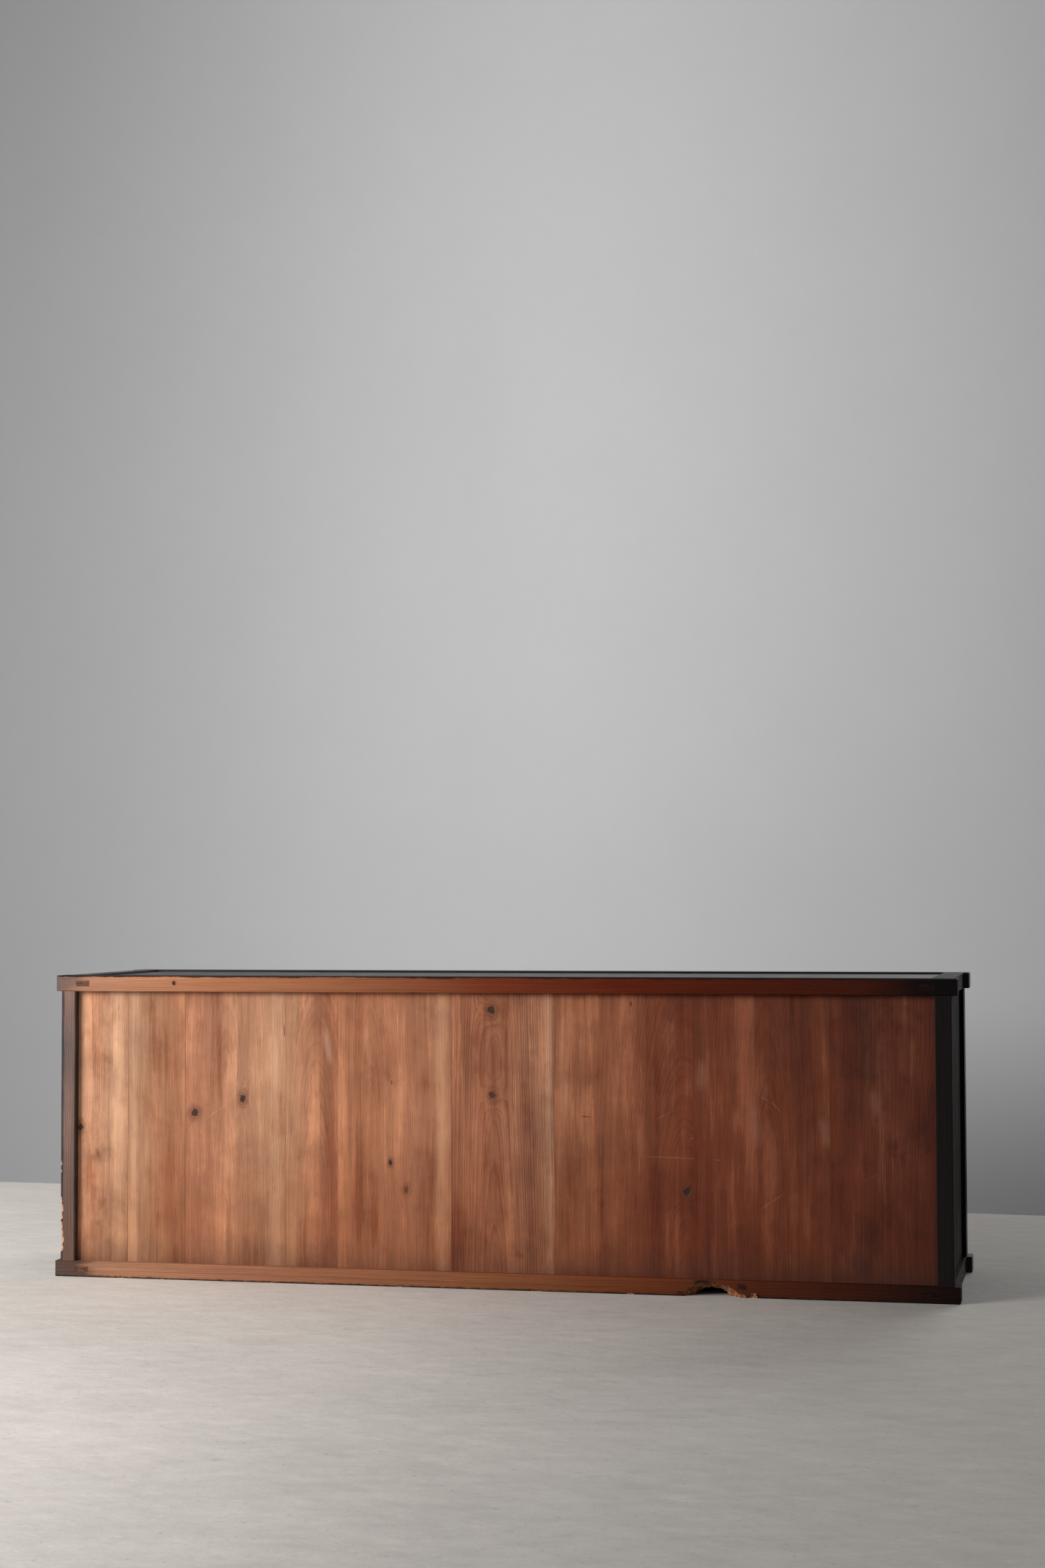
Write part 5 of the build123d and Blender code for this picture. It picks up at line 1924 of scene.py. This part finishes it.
@dataclass
class SlidingDoor:
    """One sliding door: lacquered stiles, rails and ribs over a thin figured panel, and an iron pull."""

    side: str
    seed: float

    def dress(self, dresser: Dresser) -> None:
        """Dress the door's wooden nodes."""
        name = f"door_{self.side}"
        lacquer = Lacquer(
            ground=tint(46, 24, 18), under=tint(128, 72, 44), figure=0.5, seed=self.seed, reach=0.0028,
            rough=0.33, dust=0.1,
        )
        rib = Lacquer(
            ground=tint(52, 27, 20), under=tint(132, 76, 48), worn=0.3, seed=self.seed + 3, rough=0.32,
            dust=0.12, figure=0.5,
        )
        for part, grain, coat in (
            ("stiles", Grain.UPRIGHT, lacquer), ("rails", Grain.LENGTHWISE, lacquer),
            ("ribs", Grain.LENGTHWISE, rib),
        ):
            node = f"{name}_{part}"
            dresser.node(node, replace(coat, name=f"{node}_lacquer", grain=grain))
        node = f"{name}_panel"
        dresser.node(node, Wood(
            name=f"{node}_wood", early=tint(104, 56, 36), late=tint(58, 28, 19), grain=Grain.LENGTHWISE,
            heart=(0.3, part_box(node)[0][1] + 0.03), ring=0.0055, waver=0.012, seed=self.seed + 5, rough=0.4,
            ridge=0.00008, contrast=0.9, grime=0.3,
        ))


@dataclass
class Drawer:
    """One drawer: a figured front, finger-jointed paulownia walls, a bottom and forged iron."""

    number: int
    heart: float

    def dress(self, dresser: Dresser) -> None:
        """Dress the drawer's wooden nodes."""
        name = f"drawer_{self.number}"
        low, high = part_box(f"{name}_front")
        dresser.node(f"{name}_front", Wood(
            name=f"{name}_front_wood", early=tint(120, 67, 42), late=tint(54, 28, 19),
            grain=Grain.LENGTHWISE, heart=((low[2] + high[2]) / 2 + self.heart, low[1] + 0.035),
            taper=0.055, ring=0.006, waver=0.014, seed=110.0 + 4.1 * self.number, rough=0.36, ridge=0.00006,
            contrast=0.95, grime=0.25, rub=tint(150, 92, 58), rub_reach=0.003,
        ))
        for part, grain in (("walls", Grain.DEEP_UPRIGHT), ("bottom", Grain.LENGTHWISE_FLAT)):
            node = f"{name}_{part}"
            dresser.node(node, Wood(
                name=f"{node}_paulownia", early=tint(198, 172, 138), late=tint(162, 128, 94), grain=grain,
                heart=(0.1, 0.2), taper=0.03, ring=0.006, waver=0.008, seed=130.0 + 5.3 * self.number,
                grime=0.25, rough=0.7, rub=tint(150, 122, 92), rub_share=0.35, end_tone=0.8,
            ))


@dataclass
class StudioSet:
    """A pale floor that meets a pale wall, lit softly from the worn end of the chest."""

    reach: float = 9.0
    wall_place: float = -1.2
    wall_turn: float = -4.1
    wall_height: float = 6.0
    key_place: Point = (2.9, 3.0, 1.9)
    key_size: float = 2.2
    key_power: float = 205.0
    front_place: Point = (-1.8, -3.6, 2.4)
    front_size: float = 2.6
    front_power: float = 60.0
    aim: Point = (0.0, 0.1, 0.25)
    lamp_colour: Point = (1.0, 0.99, 0.97)
    world_colour: Colour = (0.97, 0.98, 1.0, 1.0)
    world_level: float = 0.3

    def build(self, dresser: Dresser) -> None:
        """Build the floor, the wall and the light."""
        floor = self.sheet_of("studio_floor", 2 * self.reach)
        dresser.dress(floor, Ground(
            name="studio_floor", base=tint(222, 216, 209), mottle=0.11, relief=0.0012, rough=0.75,
            # The fade paints a pool of light on the floor at the chest's lit end, falling to painted shade at
            # the other.
            trowel=0.13, fade=((-1.6, 0.42), (-0.8, 0.45), (-0.2, 0.68), (0.3, 0.84), (1.2, 1.0)),
        ))
        wall = self.sheet_of("studio_wall", self.wall_height)
        Bench.alone(wall)
        with editing():
            bpy.ops.transform.translate(value=(0.0, self.wall_height / 2, 0.0))
        turn = Matrix.Rotation(math.radians(self.wall_turn), 4, "Z")
        stand = Matrix.Translation((0.0, self.wall_place, 0.0)) @ turn
        wall.data.transform(stand @ Matrix.Rotation(math.pi / 2, 4, "X"))
        wall.data.flip_normals()
        dresser.dress(wall, Ground(
            name="studio_wall", mottle=0.02, relief=0.0001, rough=0.9, one_sided=True,
            # The fade paints light in the middle of the wall and shade towards both ends.
            fade=(
                (-1.9, 0.6), (-1.1, 0.83), (-0.5, 0.95), (0.0, 0.98), (0.4, 0.9), (1.0, 0.64), (1.7, 0.42),
            ),
        ))
        self.light()
        LOG.info("built the studio")

    def sheet_of(self, name: str, depth: float) -> Piece:
        """Lay a flat sheet as wide as the set at the origin.

        Args:
            name: The sheet's name.
            depth: Its depth.

        Returns:
            The sheet's object.
        """
        bpy.ops.object.select_all(action="DESELECT")
        bpy.ops.mesh.primitive_plane_add(size=1.0, location=ORIGIN)
        sheet = bpy.context.object
        sheet.name = name
        with editing():
            bpy.ops.mesh.subdivide(number_cuts=3)
            bpy.ops.transform.resize(value=(2 * self.reach, depth, 1.0), center_override=ORIGIN)
        return sheet

    def light(self) -> None:
        """Place the soft key lamp, a weak lamp for the front, and an even pale world."""
        self.lamp("key_lamp", self.key_place, self.key_size, self.key_power)
        self.lamp("front_lamp", self.front_place, self.front_size, self.front_power)
        world = bpy.data.worlds.new("pale_room")
        bpy.context.scene.world = world
        world.use_nodes = True
        back = world.node_tree.nodes["Background"]
        back.inputs["Color"].default_value = self.world_colour
        back.inputs["Strength"].default_value = self.world_level

    def lamp(self, name: str, place: Point, size: float, power: float) -> None:
        """Hang one round soft lamp, aimed at the chest.

        Args:
            name: The lamp's name.
            place: Where it hangs.
            size: How wide it is.
            power: Its power in watts.
        """
        lamp = bpy.data.lights.new(name, "AREA")
        lamp.shape = "DISK"
        lamp.size = size
        lamp.energy = power
        lamp.color = self.lamp_colour
        holder = bpy.data.objects.new(name, lamp)
        holder.location = place
        holder.rotation_euler = (Vector(self.aim) - Vector(place)).to_track_quat("-Z", "Y").to_euler()
        bpy.context.collection.objects.link(holder)


@dataclass
class ViewCamera:
    """The camera at the photograph's place and angle."""

    place: Point = (-1.14797, 4.96571, 0.73511)
    lens: float = 58.52
    sensor: float = 36.0
    yaw: float = 0.22469
    pitch: float = 0.04596
    roll: float = -0.00301

    def build(self) -> None:
        """Set the camera on its stand and make it the scene's own."""
        flat = math.cos(self.pitch)
        ahead = Vector((math.sin(self.yaw) * flat, -math.cos(self.yaw) * flat, math.sin(self.pitch)))
        right = Vector((-math.cos(self.yaw), -math.sin(self.yaw), 0.0))
        above = right.cross(ahead)
        level = right * math.cos(self.roll) + above * math.sin(self.roll)
        upward = above * math.cos(self.roll) - right * math.sin(self.roll)
        stand = Matrix((level, upward, -ahead)).transposed().to_4x4()
        stand.translation = Vector(self.place)
        camera = bpy.data.cameras.new("photo_camera")
        camera.lens = self.lens
        camera.sensor_width = self.sensor
        camera.sensor_fit = "AUTO"
        camera.dof.use_dof = False
        holder = bpy.data.objects.new("photo_camera", camera)
        holder.matrix_world = stand
        bpy.context.collection.objects.link(holder)
        bpy.context.scene.camera = holder
        LOG.info("placed the camera")


def check_dressed(dresser: Dresser) -> None:
    """Report any CAD node that has no finish yet."""
    missing = sorted(set(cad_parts) - dresser.dressed)
    LOG.info("dressed %d nodes, missing %s", len(dresser.dressed), missing)


def main() -> None:
    """Build the studio, then dress and detail each sub-assembly in order."""
    logging.basicConfig(level=logging.INFO, format="%(name)s: %(message)s")
    bpy.ops.object.select_all(action="DESELECT")
    bpy.context.scene.view_settings.view_transform = "Standard"
    dresser = Dresser()
    ViewCamera().build()
    StudioSet().build(dresser)
    BackPlanks().dress(dresser)
    BackFrame().dress(dresser)
    LacqueredCase().dress(dresser)
    Interior().dress(dresser)
    for side, seed in (("left", 81.0), ("right", 88.0)):
        SlidingDoor(side, seed).dress(dresser)
    for number, heart in ((1, 0.03), (2, -0.02), (3, 0.01)):
        Drawer(number, heart).dress(dresser)
    ForgedBail().fit(dresser, range(1, 4))
    FingerPull().fit(dresser, ("left", "right"))
    check_dressed(dresser)


if __name__ == "__main__":
    main()
